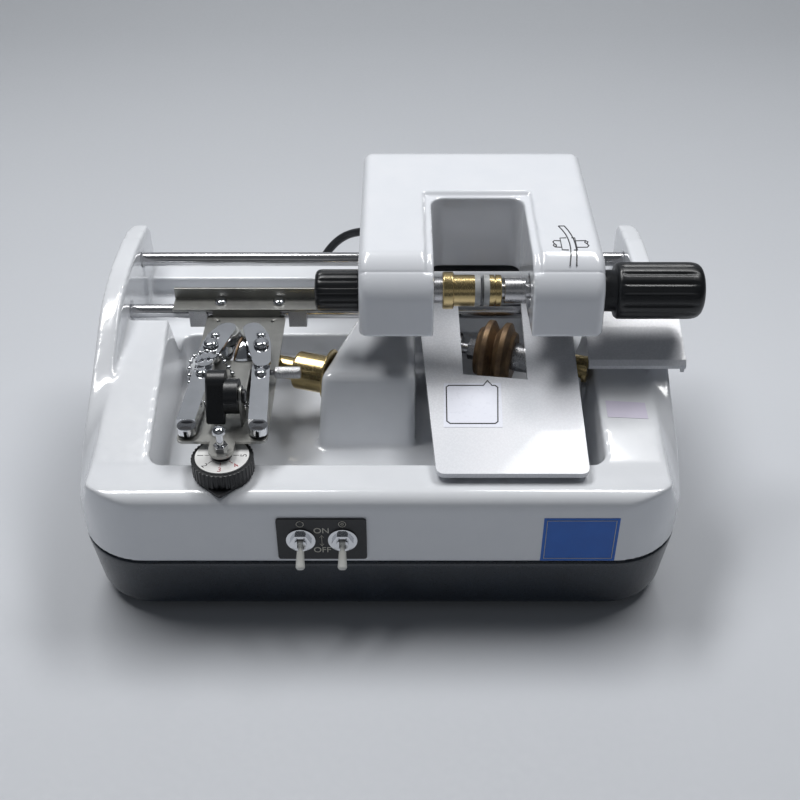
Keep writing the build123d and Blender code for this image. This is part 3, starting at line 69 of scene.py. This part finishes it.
# Camera, at the photograph's place and looking down by its pitch
CAMERA_PITCH = 37.3
camera_data = bpy.data.cameras.new("camera")
camera_data.lens = 50
camera_data.sensor_width = 36
camera = linked("camera", camera_data)
camera.location = at(10, -382.2, 430.6)
camera.rotation_euler = (radians(90 - CAMERA_PITCH), 0, 0)
bpy.context.scene.camera = camera


# Materials
GRAIN_DEPTH = 0.0002
COAT_ROUGHNESS = 0.05


def socket(shader, name, value):
    """Set one of the shader's own sockets to a constant."""
    shader.inputs[name].default_value = value


def noise(tree, place, scale, detail=4.0):
    """A noise texture at a scale, in waves to the metre."""
    node = tree.nodes.new("ShaderNodeTexNoise")
    node.inputs["Scale"].default_value = scale
    node.inputs["Detail"].default_value = detail
    node.inputs["Roughness"].default_value = 0.55
    tree.links.new(place, node.inputs["Vector"])
    return node.outputs["Fac"]


def remap(tree, value, low, high, start=0.3, end=0.7):
    """Spread a value between two others."""
    node = tree.nodes.new("ShaderNodeMapRange")
    node.inputs["From Min"].default_value = start
    node.inputs["From Max"].default_value = end
    node.inputs["To Min"].default_value = low
    node.inputs["To Max"].default_value = high
    tree.links.new(value, node.inputs["Value"])
    return node.outputs["Result"]


def blend_colours(tree, factor, first, second):
    """Mix two colours by a value between 0 and 1."""
    node = tree.nodes.new("ShaderNodeMix")
    node.data_type = "RGBA"
    node.inputs["A"].default_value = (*first, 1)
    node.inputs["B"].default_value = (*second, 1)
    tree.links.new(factor, node.inputs["Factor"])
    return node.outputs["Result"]


def surface(
    name, light, dark, rough, metal=0.0, patch=60.0, grain=900.0, relief=0.02, stretch=(1, 1, 1), coat=0.0
):
    """A material whose colour drifts in patches, with a fine grain in its gloss and its relief."""
    material = bpy.data.materials.new(name)
    material.use_nodes = True
    tree = material.node_tree
    shader = tree.nodes["Principled BSDF"]
    place = tree.nodes.new("ShaderNodeTexCoord").outputs["Object"]
    mapping = tree.nodes.new("ShaderNodeMapping")
    mapping.inputs["Scale"].default_value = stretch
    tree.links.new(place, mapping.inputs["Vector"])
    along = mapping.outputs["Vector"]
    drift = remap(tree, noise(tree, place, patch), 0, 1)
    tree.links.new(blend_colours(tree, drift, light, dark), shader.inputs["Base Color"])
    fine = noise(tree, along, grain, 3.0)
    tree.links.new(remap(tree, fine, *rough), shader.inputs["Roughness"])
    bump = tree.nodes.new("ShaderNodeBump")
    bump.inputs["Strength"].default_value = relief
    bump.inputs["Distance"].default_value = GRAIN_DEPTH
    tree.links.new(fine, bump.inputs["Height"])
    tree.links.new(bump.outputs["Normal"], shader.inputs["Normal"])
    socket(shader, "Metallic", metal)
    if coat:
        socket(shader, "Coat Weight", coat)
        socket(shader, "Coat Roughness", COAT_ROUGHNESS)
    return material


enamel = surface(
    "casing_enamel", (0.76, 0.78, 0.81), (0.73, 0.75, 0.785), (0.14, 0.22), grain=260, relief=0.03, coat=0.7
)
head_paint = surface(
    "head_enamel", (0.80, 0.82, 0.86), (0.77, 0.795, 0.84), (0.16, 0.24), grain=240, relief=0.03, coat=0.7
)
acrylic = surface(
    "cover_sheet", (0.78, 0.79, 0.83), (0.74, 0.76, 0.80), (0.22, 0.32), relief=0.02, coat=0.3
)
navy = surface(
    "base_moulding", (0.012, 0.020, 0.032), (0.008, 0.013, 0.021), (0.24, 0.36), grain=1800, relief=0.05,
    coat=0.4,
)
steel = surface(
    "turned_steel", (0.56, 0.56, 0.57), (0.42, 0.42, 0.43), (0.22, 0.36), 1.0, relief=0.05,
    stretch=(6, 0.6, 1),
)
rod_steel = surface(
    "ground_rod", (0.66, 0.66, 0.67), (0.54, 0.54, 0.55), (0.12, 0.22), 1.0, relief=0.03, stretch=(8, 1, 1)
)
plate_steel = surface(
    "brushed_plate", (0.36, 0.36, 0.34), (0.28, 0.28, 0.27), (0.30, 0.44), 1.0, grain=700, relief=0.10,
    stretch=(9, 0.35, 1),
)
chrome = surface("chrome_plate", (0.74, 0.75, 0.77), (0.62, 0.63, 0.65), (0.06, 0.13), 1.0, relief=0.03)
brass = surface(
    "turned_brass", (0.60, 0.47, 0.24), (0.44, 0.34, 0.16), (0.16, 0.30), 1.0, relief=0.06, stretch=(7, 1, 1)
)
black_plastic = surface(
    "moulded_black", (0.008, 0.009, 0.011), (0.005, 0.006, 0.007), (0.26, 0.38), grain=2200, relief=0.10
)
black_satin = surface(
    "printed_black", (0.020, 0.021, 0.024), (0.013, 0.014, 0.016), (0.35, 0.48), relief=0.04
)
pad_grey = surface(
    "lens_pad_grey", (0.40, 0.41, 0.41), (0.30, 0.31, 0.31), (0.25, 0.4), patch=300, relief=0.1
)
rubber = surface(
    "black_rubber", (0.018, 0.018, 0.019), (0.010, 0.010, 0.011), (0.55, 0.75), relief=0.25
)
milky = surface("milky_disc", (0.46, 0.47, 0.46), (0.38, 0.39, 0.38), (0.10, 0.2), 0.35, relief=0.04)
nylon = surface("white_nylon", (0.72, 0.72, 0.69), (0.64, 0.64, 0.60), (0.34, 0.5), relief=0.06)
abrasive = surface(
    "abrasive_wheel", (0.26, 0.17, 0.09), (0.12, 0.075, 0.045), (0.35, 0.6), 0.55, patch=180, grain=2600,
    relief=0.4,
)
can_grey = surface("motor_can", (0.16, 0.165, 0.18), (0.11, 0.115, 0.125), (0.35, 0.5), 0.3, relief=0.08)
board = surface("circuit_board", (0.03, 0.14, 0.06), (0.015, 0.08, 0.035), (0.35, 0.5), relief=0.1)
jacket = surface("cable_jacket", (0.022, 0.024, 0.028), (0.014, 0.015, 0.018), (0.36, 0.5), relief=0.12)
dial_white = surface("dial_print", (0.76, 0.76, 0.75), (0.70, 0.70, 0.69), (0.4, 0.5), relief=0.02)
print_black = surface("print_black", (0.02, 0.02, 0.025), (0.012, 0.012, 0.015), (0.4, 0.5), relief=0.02)
print_red = surface("print_red", (0.35, 0.03, 0.04), (0.28, 0.02, 0.03), (0.4, 0.5), relief=0.02)
print_pale = surface("print_pale", (0.62, 0.60, 0.52), (0.54, 0.52, 0.45), (0.4, 0.5), relief=0.02)
label_blue = surface(
    "label_blue", (0.006, 0.13, 0.56), (0.005, 0.11, 0.48), (0.30, 0.42), grain=400, relief=0.04
)
label_lilac = surface(
    "label_lilac", (0.66, 0.62, 0.74), (0.60, 0.56, 0.69), (0.4, 0.5), grain=400, relief=0.04
)
label_clear = surface(
    "label_clear", (0.80, 0.82, 0.90), (0.77, 0.79, 0.88), (0.25, 0.35), grain=400, relief=0.03
)

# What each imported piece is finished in
finishes = {
    enamel: ("upper_casing",),
    head_paint: ("head_shell",),
    acrylic: ("cover_plate", "side_guard"),
    navy: ("base_tray",),
    steel: (
        "groove_spindle", "chamfer_spindle", "motor_pulley", "spindle_bearings", "left_lens_shaft",
        "right_lens_shaft", "right_lens_flange", "right_drive_sleeve", "layshaft", "hinge_blocks",
        "thumb_screw",
    ),
    rod_steel: ("slide_rods",),
    plate_steel: ("guide_plate", "hinge_bracket"),
    chrome: (
        "casing_screws", "toggle_bodies", "plate_screws", "rest_screw", "ball_chain", "arm_spring",
        "left_arm", "right_arm", "dome_cap",
    ),
    brass: ("groove_housing", "chamfer_bush", "left_clamp", "right_clamp"),
    black_plastic: ("left_knob", "right_knob", "selector_knob", "depth_dial", "power_inlet", "cable_gland"),
    black_satin: ("switch_plate", "dial_pointer", "slide_sleeve"),
    rubber: ("rubber_feet", "cover_pads", "drive_belts", "head_belts"),
    pad_grey: ("left_lens_pad", "right_lens_pad"),
    milky: ("left_guide_disc", "right_guide_disc"),
    nylon: ("stop_pad", "power_toggle", "wheel_toggle"),
    abrasive: ("groove_wheel", "chamfer_wheel"),
    can_grey: ("wheel_motor", "lens_motor", "head_frame"),
    board: ("power_supply",),
    dial_white: ("dial_face",),
    jacket: ("head_cable",),
}

# How far welded points lie apart, how wide an eased edge is, and from what angle an edge is eased
WELD_REACH = 0.000002
EASED_WIDTH = 0.00035
SHARP_FROM = 32


def dress(obj, material):
    """Give an object one material."""
    obj.data.materials.clear()
    obj.data.materials.append(material)


def weld_seams(obj):
    """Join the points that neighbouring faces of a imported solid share."""
    weld = obj.modifiers.new("weld", "WELD")
    weld.merge_threshold = WELD_REACH


def smooth_shading(mesh):
    """Shade all of a mesh's faces smooth."""
    mesh.polygons.foreach_set("use_smooth", [True] * len(mesh.polygons))


def ease_edges(obj):
    """Round an object's sharp edges a little, so that they catch the light."""
    weld_seams(obj)
    bevel = obj.modifiers.new("eased_edges", "BEVEL")
    bevel.width = EASED_WIDTH
    bevel.segments = 2
    bevel.limit_method = "ANGLE"
    bevel.angle_limit = radians(SHARP_FROM)
    bevel.use_clamp_overlap = True
    obj.modifiers.new("smooth_faces", "WEIGHTED_NORMAL").keep_sharp = False
    smooth_shading(obj.data)


# Pieces with grooves, wires or sheets too fine for rounded edges
fine_edges = {
    "arm_spring", "ball_chain", "dome_cap", "dial_face", "groove_wheel", "switch_plate", "thumb_screw",
    "left_clamp", "right_clamp", "left_lens_pad", "right_lens_pad",
}
for finish, names in finishes.items():
    for name in names:
        dress(nodes[name], finish)
        if name not in fine_edges:
            ease_edges(nodes[name])


# Softened mouldings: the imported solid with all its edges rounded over, the more rounds the softer
CASING_VOXEL = 0.0011
CASING_ROUNDS = 10
HEAD_VOXEL = 0.0009
HEAD_ROUNDS = 6
TRAY_VOXEL = 0.0013
TRAY_ROUNDS = 4


def softened(name, node, voxel, rounds, material):
    """A piece in a node's place, with its edges rounded as a moulding's are."""
    piece = linked(name, nodes[node].data.copy())
    weld_seams(piece)
    even = piece.modifiers.new("even", "REMESH")
    even.mode = "VOXEL"
    even.voxel_size = voxel
    ease = piece.modifiers.new("ease", "SMOOTH")
    ease.factor = 0.5
    ease.iterations = rounds
    shape = piece.evaluated_get(bpy.context.evaluated_depsgraph_get())
    mesh = bpy.data.meshes.new_from_object(shape)
    smooth_shading(mesh)
    piece.modifiers.clear()
    piece.data = mesh
    dress(piece, material)
    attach(piece, body_of[node])
    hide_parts(node)
    return piece


softened("moulded_casing", "upper_casing", CASING_VOXEL, CASING_ROUNDS, enamel)
head = softened("moulded_head", "head_shell", HEAD_VOXEL, HEAD_ROUNDS, head_paint)
softened("moulded_tray", "base_tray", TRAY_VOXEL, TRAY_ROUNDS, navy)

# The head's rounded front edge: its front leans, its top rises, and both are drawn in where they meet.
# Millimetres, from the casing's front and the table.
HEAD_ROUND = 18
FRONT_LOW = (72.7, 122.7)
FRONT_LEAN = 6.1 / 36.05
TOP_FRONT = (78.8, 158.75)
TOP_RISE = 0.0404
for vertex in head.data.vertices:
    y = (vertex.co.y - FRONT) * 1000
    z = vertex.co.z * 1000
    behind = HEAD_ROUND - (y - FRONT_LOW[0] - FRONT_LEAN * (z - FRONT_LOW[1]))
    below = HEAD_ROUND - (TOP_FRONT[1] + (y - TOP_FRONT[0]) * TOP_RISE - z)
    if behind > 0 and below > 0:
        share = 1 - max(behind, below) / (behind**2 + below**2) ** 0.5
        vertex.co.y += behind * share / 1000
        vertex.co.z -= below * share / 1000

# Cable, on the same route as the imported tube
CABLE_D = 0.0052
cable_route = [
    (-46, 214, 50), (-46, 235, 50), (-41, 246, 67), (-28, 245, 84), (-12, 235, 94), (4, 220, 98), (4, 200, 98)
]
cable_curve = bpy.data.curves.new("cable", "CURVE")
cable_curve.dimensions = "3D"
cable_curve.bevel_depth = CABLE_D / 2
cable_curve.bevel_resolution = 6
cable_curve.resolution_u = 16
cable_curve.use_fill_caps = True
spline = cable_curve.splines.new("NURBS")
spline.points.add(len(cable_route) - 1)
for point, place in zip(spline.points, cable_route):
    point.co = (*at(*place), 1)
spline.order_u = 3
spline.use_endpoint_u = True
cable = linked("head_cable_smooth", cable_curve)
dress(cable, jacket)
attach(cable, "carriage")
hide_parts("head_cable")


# Moulded knobs and a knurled screw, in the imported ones' places
def closed_mesh(shape, name):
    """A mesh from a finished closed form, with its faces turned outwards."""
    bmesh.ops.recalc_face_normals(shape, faces=shape.faces)
    mesh = bpy.data.meshes.new(name)
    shape.to_mesh(mesh)
    shape.free()
    return mesh


def thicken(shape, face, way):
    """Carry a face along a way, so that the two close into a thin sheet."""
    made = bmesh.ops.extrude_face_region(shape, geom=[face])
    moved = [item for item in made["geom"] if isinstance(item, bmesh.types.BMVert)]
    bmesh.ops.translate(shape, vec=way, verts=moved)


def round_piece(name, node, stations, ripple, material, around=144):
    """A closed round form along X, from places, radii and depths of a ripple round it."""
    low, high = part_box(node)
    middle = (low + high) / 2
    shape = bmesh.new()
    rings = []
    for x, radius, depth in stations:
        ring = []
        for step in range(around):
            angle = FULL_TURN * step / around
            reach = radius - depth * ripple(angle, x)
            ring.append(shape.verts.new((x, middle.y + reach * cos(angle), middle.z + reach * sin(angle))))
        rings.append(ring)
    for first, second in zip(rings, rings[1:]):
        for step in range(around):
            after = (step + 1) % around
            shape.faces.new((first[step], first[after], second[after], second[step]))
    shape.faces.new(rings[0])
    shape.faces.new(rings[-1])
    mesh = closed_mesh(shape, name)
    smooth_shading(mesh)
    piece = linked(name, mesh)
    dress(piece, material)
    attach(piece, body_of[node])
    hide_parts(node)


def flutes(count):
    """Narrow flutes along the knob, evenly round it."""
    return lambda angle, x: max(0.0, cos(count * angle)) ** 2


def ends(node):
    """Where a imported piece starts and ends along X."""
    low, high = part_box(node)
    return low.x, high.x


start, end = ends("right_knob")
right_stations = [
    (start, 0.0102, 0),
    (start + 0.0004, 0.0105, 0),
    (start + 0.0069, 0.0105, 0),
    (start + 0.0071, 0.0124, 0),
    (start + 0.0075, 0.0134, 0),
    (start + 0.0086, 0.0142, 0),
    (start + 0.0100, 0.0143, 0.0004),
    (start + 0.0116, 0.0143, 0.0009),
    (end - 0.0110, 0.0143, 0.0009),
    (end - 0.0078, 0.0143, 0.0007),
    (end - 0.0056, 0.0142, 0.0003),
    (end - 0.0038, 0.0139, 0),
    (end - 0.0024, 0.0133, 0),
    (end - 0.0013, 0.0123, 0),
    (end - 0.0006, 0.0109, 0),
    (end - 0.0002, 0.0088, 0),
    (end, 0.0050, 0),
]
round_piece("fluted_right_knob", "right_knob", right_stations, flutes(16), black_plastic)
start, end = ends("left_knob")
left_stations = [
    (start, 0.0060, 0),
    (start + 0.0003, 0.0085, 0),
    (start + 0.0010, 0.0098, 0),
    (start + 0.0021, 0.0105, 0.0001),
    (start + 0.0036, 0.0107, 0.0006),
    (start + 0.0052, 0.0107, 0.0008),
    (end - 0.0012, 0.0107, 0.0008),
    (end - 0.0006, 0.0107, 0.0008),
    (end, 0.0104, 0.0006),
]
round_piece("fluted_left_knob", "left_knob", left_stations, flutes(18), black_plastic)


# The screw's plain shank, its knurled grip and the chamfers at the grip's two ends
KNURL_RIDGES = 7
KNURL_LEAN = 2600
KNURL_DEPTH = 0.00042
KNURL_STEP = 0.00025
KNURL_STEPS = 47
SHANK_R = 0.00145
GRIP_L = 0.0130
GRIP_R = 0.0031
GRIP_SHOULDER_R = 0.0030
GRIP_END_R = 0.0026


def knurl(angle, x):
    """Crossed knurling: ridges that lean both ways."""
    lean = x * KNURL_LEAN
    return 1 - min(abs(sin(KNURL_RIDGES * angle + lean)), abs(sin(KNURL_RIDGES * angle - lean)))


start, end = ends("thumb_screw")
grip = end - GRIP_L
screw_stations = [(start, SHANK_R, 0), (grip - 0.0004, SHANK_R, 0)]
screw_stations += [(grip, GRIP_END_R, 0), (grip + 0.0003, GRIP_SHOULDER_R, 0)]
screw_stations += [(grip + 0.0006 + KNURL_STEP * step, GRIP_R, KNURL_DEPTH) for step in range(KNURL_STEPS)]
screw_stations += [(end - 0.0004, GRIP_SHOULDER_R, 0), (end, GRIP_END_R, 0)]
round_piece("knurled_screw", "thumb_screw", screw_stations, knurl, steel, around=112)

# Folded chrome tips over the arms' front ends, each with a dark slot: a thin black ellipse of painted shade
# laid where the slot's hollow is
TIP_IN = 0.0045
TIP_UP = 0.00355
LIP_R = 0.0046
LIP_T = 0.0006
SLOT_RADII = (0.0028, 0.0009)
SLOT_FORWARD = 0.0022
SLOT_T = 0.0007
TIP_POINTS = 48
for name, arm in (("left", "left_arm"), ("right", "right_arm")):
    low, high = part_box(arm)
    tip_x = (low.x + TIP_IN) if name == "left" else (high.x - TIP_IN)
    tip_y = low.y + TIP_IN
    for part_name, y, radii, height, material, slot in (
        (f"{name}_tip_lip", tip_y, (LIP_R, LIP_R), LIP_T, chrome, "chrome"),
        # painted shade: the slot is a flat black ellipse on the lip, not a cut
        (f"{name}_tip_slot_shade", tip_y - SLOT_FORWARD, SLOT_RADII, SLOT_T, print_black, "black_satin"),
    ):
        shape = bmesh.new()
        rim = [
            shape.verts.new((tip_x + radii[0] * cos(angle), y + radii[1] * sin(angle), low.z + TIP_UP))
            for angle in (FULL_TURN * step / TIP_POINTS for step in range(TIP_POINTS))
        ]
        thicken(shape, shape.faces.new(rim), (0, 0, height))
        tip = linked(part_name, closed_mesh(shape, part_name))
        dress(tip, material)
        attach(tip, body_of[arm])


# Printed and stuck-on pieces
LABEL_T = 0.00012
LETTER_T = 0.00004


def flat_piece(name, outline, material, body):
    """A thin closed sheet from an outline of places, thickened along its own normal."""
    shape = bmesh.new()
    face = shape.faces.new([shape.verts.new(place) for place in outline])
    shape.normal_update()
    thicken(shape, face, face.normal * LABEL_T)
    piece = linked(name, closed_mesh(shape, name))
    dress(piece, material)
    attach(piece, body)


def line_piece(name, runs, radius, material, body, closed=False):
    """Thin printed lines through places."""
    curve = bpy.data.curves.new(name, "CURVE")
    curve.dimensions = "3D"
    curve.bevel_depth = radius
    curve.bevel_resolution = 2
    for run in runs:
        line = curve.splines.new("POLY")
        line.points.add(len(run) - 1)
        for point, place in zip(line.points, run):
            point.co = (*place, 1)
        line.use_cyclic_u = closed
    piece = linked(name, curve)
    dress(piece, material)
    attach(piece, body)


def words(name, text, size, matrix, material, body):
    """Generic lettering on a level or upright face."""
    curve = bpy.data.curves.new(name, "FONT")
    curve.body = text
    curve.size = size
    curve.extrude = LETTER_T
    curve.align_x = "CENTER"
    curve.align_y = "CENTER"
    piece = linked(name, curve)
    piece.matrix_world = matrix
    dress(piece, material)
    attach(piece, body)


# Labels: a plain blue one on the front, a bare lilac one on the shoulder, an empty frame on the cover
def rect(x_span, z_span, y):
    """The corners of an upright rectangle that faces the front."""
    (left, right), (low, high) = x_span, z_span
    return [at(left, y, low), at(right, y, low), at(right, y, high), at(left, y, high)]


def shoulder(x, y):
    """A place just over the right shoulder's sloping top."""
    slope_front, slope_low, slope_rise = 25, 81.5, 15.5 / 104
    return at(x, y, slope_low + slope_rise * (y - slope_front) + 0.05)


def on_cover(x, y, lift=0.03):
    """A place just over the cover plate's sloping top."""
    cover_front, cover_low, cover_rise = 11.7, 87, 0.1441
    return at(x, y, cover_low + (y - cover_front) * cover_rise + lift)


def on_head(x, y):
    """A place just over the head's top, which rounds over towards its front."""
    bend_y, level_y, level_z, lift = 96.5, 95, 159.4, 0.02
    top = level_z + (y - level_y) * TOP_RISE
    rounding = min(max(0.0, bend_y - y), HEAD_ROUND - 0.1)
    return at(x, y, top - (HEAD_ROUND - (HEAD_ROUND**2 - rounding**2) ** 0.5) + lift)


LABEL_RIM_R = 0.00022
FRAME_LINE_R = 0.00034
DRAWING_LINE_R = 0.00031
DIAL_LINE_R = 0.00013
SWITCH_LINE_R = 0.00016

flat_piece("front_label", rect((78, 114), (41.5, 69.5), -0.02), label_blue, "housing")
line_piece(
    "front_label_rim", [rect((79.6, 112.4), (43.1, 67.9), -0.14)], LABEL_RIM_R, print_pale, "housing",
    closed=True,
)
flat_piece(
    "shoulder_label",
    [shoulder(114.2, 55.8), shoulder(134.4, 54.6), shoulder(134.2, 65.6), shoulder(114.4, 67.2)],
    label_lilac, "housing",
)
flat_piece(
    "cover_label",
    [on_cover(31.3, 41.2), on_cover(60.2, 41.2), on_cover(61.2, 71.6), on_cover(32.2, 71.6)],
    label_clear, "housing",
)
bubble = [
    (34.6, 43.6), (56.6, 43.6), (58, 44.8), (59.4, 68.4), (58.2, 69.8), (56.6, 69.8), (54.4, 73.4),
    (52.2, 69.8), (34.6, 69.8), (33.4, 68.6), (33.0, 45.2),
]
line_piece(
    "cover_label_frame", [[on_cover(x, y, 0.16) for x, y in bubble]], FRAME_LINE_R, print_black, "housing",
    closed=True,
)


# Line drawing on the head: a curved lens edge between two clamps
def drawn(*places):
    """A line of the drawing through places on the head's top."""
    return [on_head(x, y) for x, y in places]


drawing = [
    drawn(
        (90.0, 117.6), (91.6, 113.6), (92.8, 109.4), (93.5, 105.0), (93.8, 100.6), (93.7, 96.0), (93.3, 91.0),
        (92.5, 86.0),
    ),
    drawn(
        (93.0, 117.6), (94.4, 113.6), (95.5, 109.2), (96.2, 105.0), (96.5, 100.6), (96.5, 96.0), (96.2, 91.0),
        (95.7, 86.0),
    ),
    drawn((90.0, 117.6), (93.0, 117.6)),
    drawn((92.6, 106.2), (89.5, 106.0), (89.5, 95.2), (92.7, 95.0)),
    drawn((95.2, 106.2), (96.9, 106.2), (96.9, 95.0), (95.2, 95.0)),
    drawn(
        (89.5, 103.4), (86.4, 103.6), (85.6, 102.4), (86.2, 100.8), (85.5, 99.2), (86.3, 97.6), (89.5, 97.4)
    ),
    drawn((86.2, 100.8), (87.0, 99.6), (86.9, 98.4), (86.3, 97.6)),
    drawn(
        (97.1, 103.4), (101.9, 103.6), (103.0, 102.4), (102.2, 100.8), (103.0, 99.0), (102.0, 97.4),
        (97.1, 97.4),
    ),
    drawn((102.2, 100.8), (101.3, 102.0), (101.9, 103.6)),
]
line_piece("head_drawing", drawing, DRAWING_LINE_R, print_black, "head")

# Dial: numbers from the left round its front half, and a mark inside each; the third and fourth in red
NUMBER_SIZE = 0.0043
NUMBER_OUT = 0.0104
MARK_FROM = 0.0054
MARK_TO = 0.0082
MARK_LIFT = Vector((0, 0, 0.00003))
centre = at(-74, 19, 0)
centre.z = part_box("dial_face")[1].z
for number in range(1, 6):
    angle = radians(180 + 45 * (number - 1))
    ink = print_red if number in (3, 4) else print_black
    direction = Vector((cos(angle), sin(angle), 0))
    turn = Matrix.Rotation(angle + pi / 2, 4, "Z")
    words(
        f"dial_number_{number}", str(number), NUMBER_SIZE,
        Matrix.Translation(centre + direction * NUMBER_OUT) @ turn, ink, "dial",
    )
    line_piece(
        f"dial_mark_{number}",
        [[centre + direction * MARK_FROM + MARK_LIFT, centre + direction * MARK_TO + MARK_LIFT]],
        DIAL_LINE_R, ink, "dial",
    )

# Switch plate: the words for on and off, the arrows between them and a ring over each toggle
WORD_SIZE = 0.0048
WORDS_X = -27.3
ARROW_Y = -1.06
ARROW_TAIL = 55.9
RING_Y = -1.05
RING_Z = 66.6
RING_STEPS = 24
upright = Matrix.Rotation(pi / 2, 4, "X")
plate_face = (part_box("switch_plate")[0].y - FRONT) * 1000
for word, height in (("ON", 62.2), ("OFF", 49.6)):
    words(
        f"switch_word_{word.lower()}", word, WORD_SIZE,
        Matrix.Translation(at(WORDS_X, plate_face - 0.03, height)) @ upright, print_pale, "housing",
    )
arrows = []
for tip in (59.4, 52.3):
    barb = ARROW_TAIL + (tip - ARROW_TAIL) * 0.55
    point = at(WORDS_X, ARROW_Y, tip)
    arrows += [
        [at(WORDS_X, ARROW_Y, ARROW_TAIL), point],
        [at(WORDS_X - 1, ARROW_Y, barb), point, at(WORDS_X + 1, ARROW_Y, barb)],
    ]
line_piece("switch_arrows", arrows, SWITCH_LINE_R, print_pale, "housing")
turns = [FULL_TURN * step / RING_STEPS for step in range(RING_STEPS + 1)]
rings = [
    [at(x + radius * cos(angle), RING_Y, RING_Z + radius * sin(angle)) for angle in turns]
    for x, radius in ((-37.3, 1.7), (-17.3, 1.7), (-17.3, 0.6))
]
line_piece("switch_rings", rings, SWITCH_LINE_R, print_pale, "housing")


# Floor and backdrop in one sheet that curves up behind the object
SHEET_HALF_W = 2.6
SHEET_FRONT = -1.6
SHEET_TOP = 2.2
BEND_Y = 0.75
BEND_R = 0.35


def backdrop():
    """The pale sheet on which the object stands."""
    mesh = bpy.data.meshes.new("backdrop")
    shape = bmesh.new()
    bends = [radians(degrees) for degrees in range(6, 91, 6)]
    profile = [(SHEET_FRONT, 0.0), (BEND_Y, 0.0)]
    profile += [(BEND_Y + BEND_R * sin(bend), BEND_R - BEND_R * cos(bend)) for bend in bends]
    profile += [(BEND_Y + BEND_R, SHEET_TOP)]
    left, right = [[shape.verts.new((x, y, z)) for y, z in profile] for x in (-SHEET_HALF_W, SHEET_HALF_W)]
    for i in range(len(profile) - 1):
        shape.faces.new((left[i], right[i], right[i + 1], left[i + 1]))
    shape.to_mesh(mesh)
    shape.free()
    smooth_shading(mesh)
    return linked("backdrop", mesh)


floor_paper = surface(
    "floor_paper", (0.60, 0.62, 0.655), (0.56, 0.58, 0.615), (0.55, 0.7), patch=1.5, grain=300, relief=0.05
)

# Painted shade: the sheet's colour darkens from just behind the object to its upright part, in place of the
# light falling off towards the back
PAINTED_SHADE_START = 0.1
PAINTED_SHADE_END = 1.1
sheet = floor_paper.node_tree
shader = sheet.nodes["Principled BSDF"]
split = sheet.nodes.new("ShaderNodeSeparateXYZ")
sheet.links.new(sheet.nodes["Texture Coordinate"].outputs["Object"], split.inputs["Vector"])
painted_shade = sheet.nodes.new("ShaderNodeMix")
painted_shade.data_type = "RGBA"
# painted shade: the darker colour the sheet takes at its back and on its upright part
painted_shade.inputs["B"].default_value = (0.30, 0.315, 0.335, 1)
painted_shade_amount = remap(sheet, split.outputs["Y"], 0, 1, PAINTED_SHADE_START, PAINTED_SHADE_END)
sheet.links.new(painted_shade_amount, painted_shade.inputs["Factor"])
sheet.links.new(shader.inputs["Base Color"].links[0].from_socket, painted_shade.inputs["A"])
sheet.links.new(painted_shade.outputs["Result"], shader.inputs["Base Color"])
floor = backdrop()
dress(floor, floor_paper)


# Light: two lamps overhead, a weak one from the front and a faint cool room
TARGET = Vector((0, 0, 0.05))


def lamp(name, place, size, power):
    """A soft rectangular lamp that looks at the object."""
    data = bpy.data.lights.new(name, "AREA")
    data.shape = "RECTANGLE"
    data.size = size[0]
    data.size_y = size[1]
    data.energy = power
    obj = linked(name, data)
    obj.location = place
    obj.rotation_euler = (TARGET - Vector(place)).to_track_quat("-Z", "Y").to_euler()


lamp("ceiling_left", (-0.5, 0.38, 1.5), (1.0, 0.30), 15.0)
lamp("ceiling_right", (0.55, 0.46, 1.5), (1.0, 0.30), 12.4)
lamp("front_fill", (0.1, -1.5, 0.9), (1.4, 0.6), 0.5)
world = bpy.data.worlds.new("room")
world.use_nodes = True
background = world.node_tree.nodes["Background"]
background.inputs["Color"].default_value = (0.80, 0.86, 0.95, 1)
background.inputs["Strength"].default_value = 0.09
bpy.context.scene.world = world
bpy.context.scene.view_settings.view_transform = "Standard"
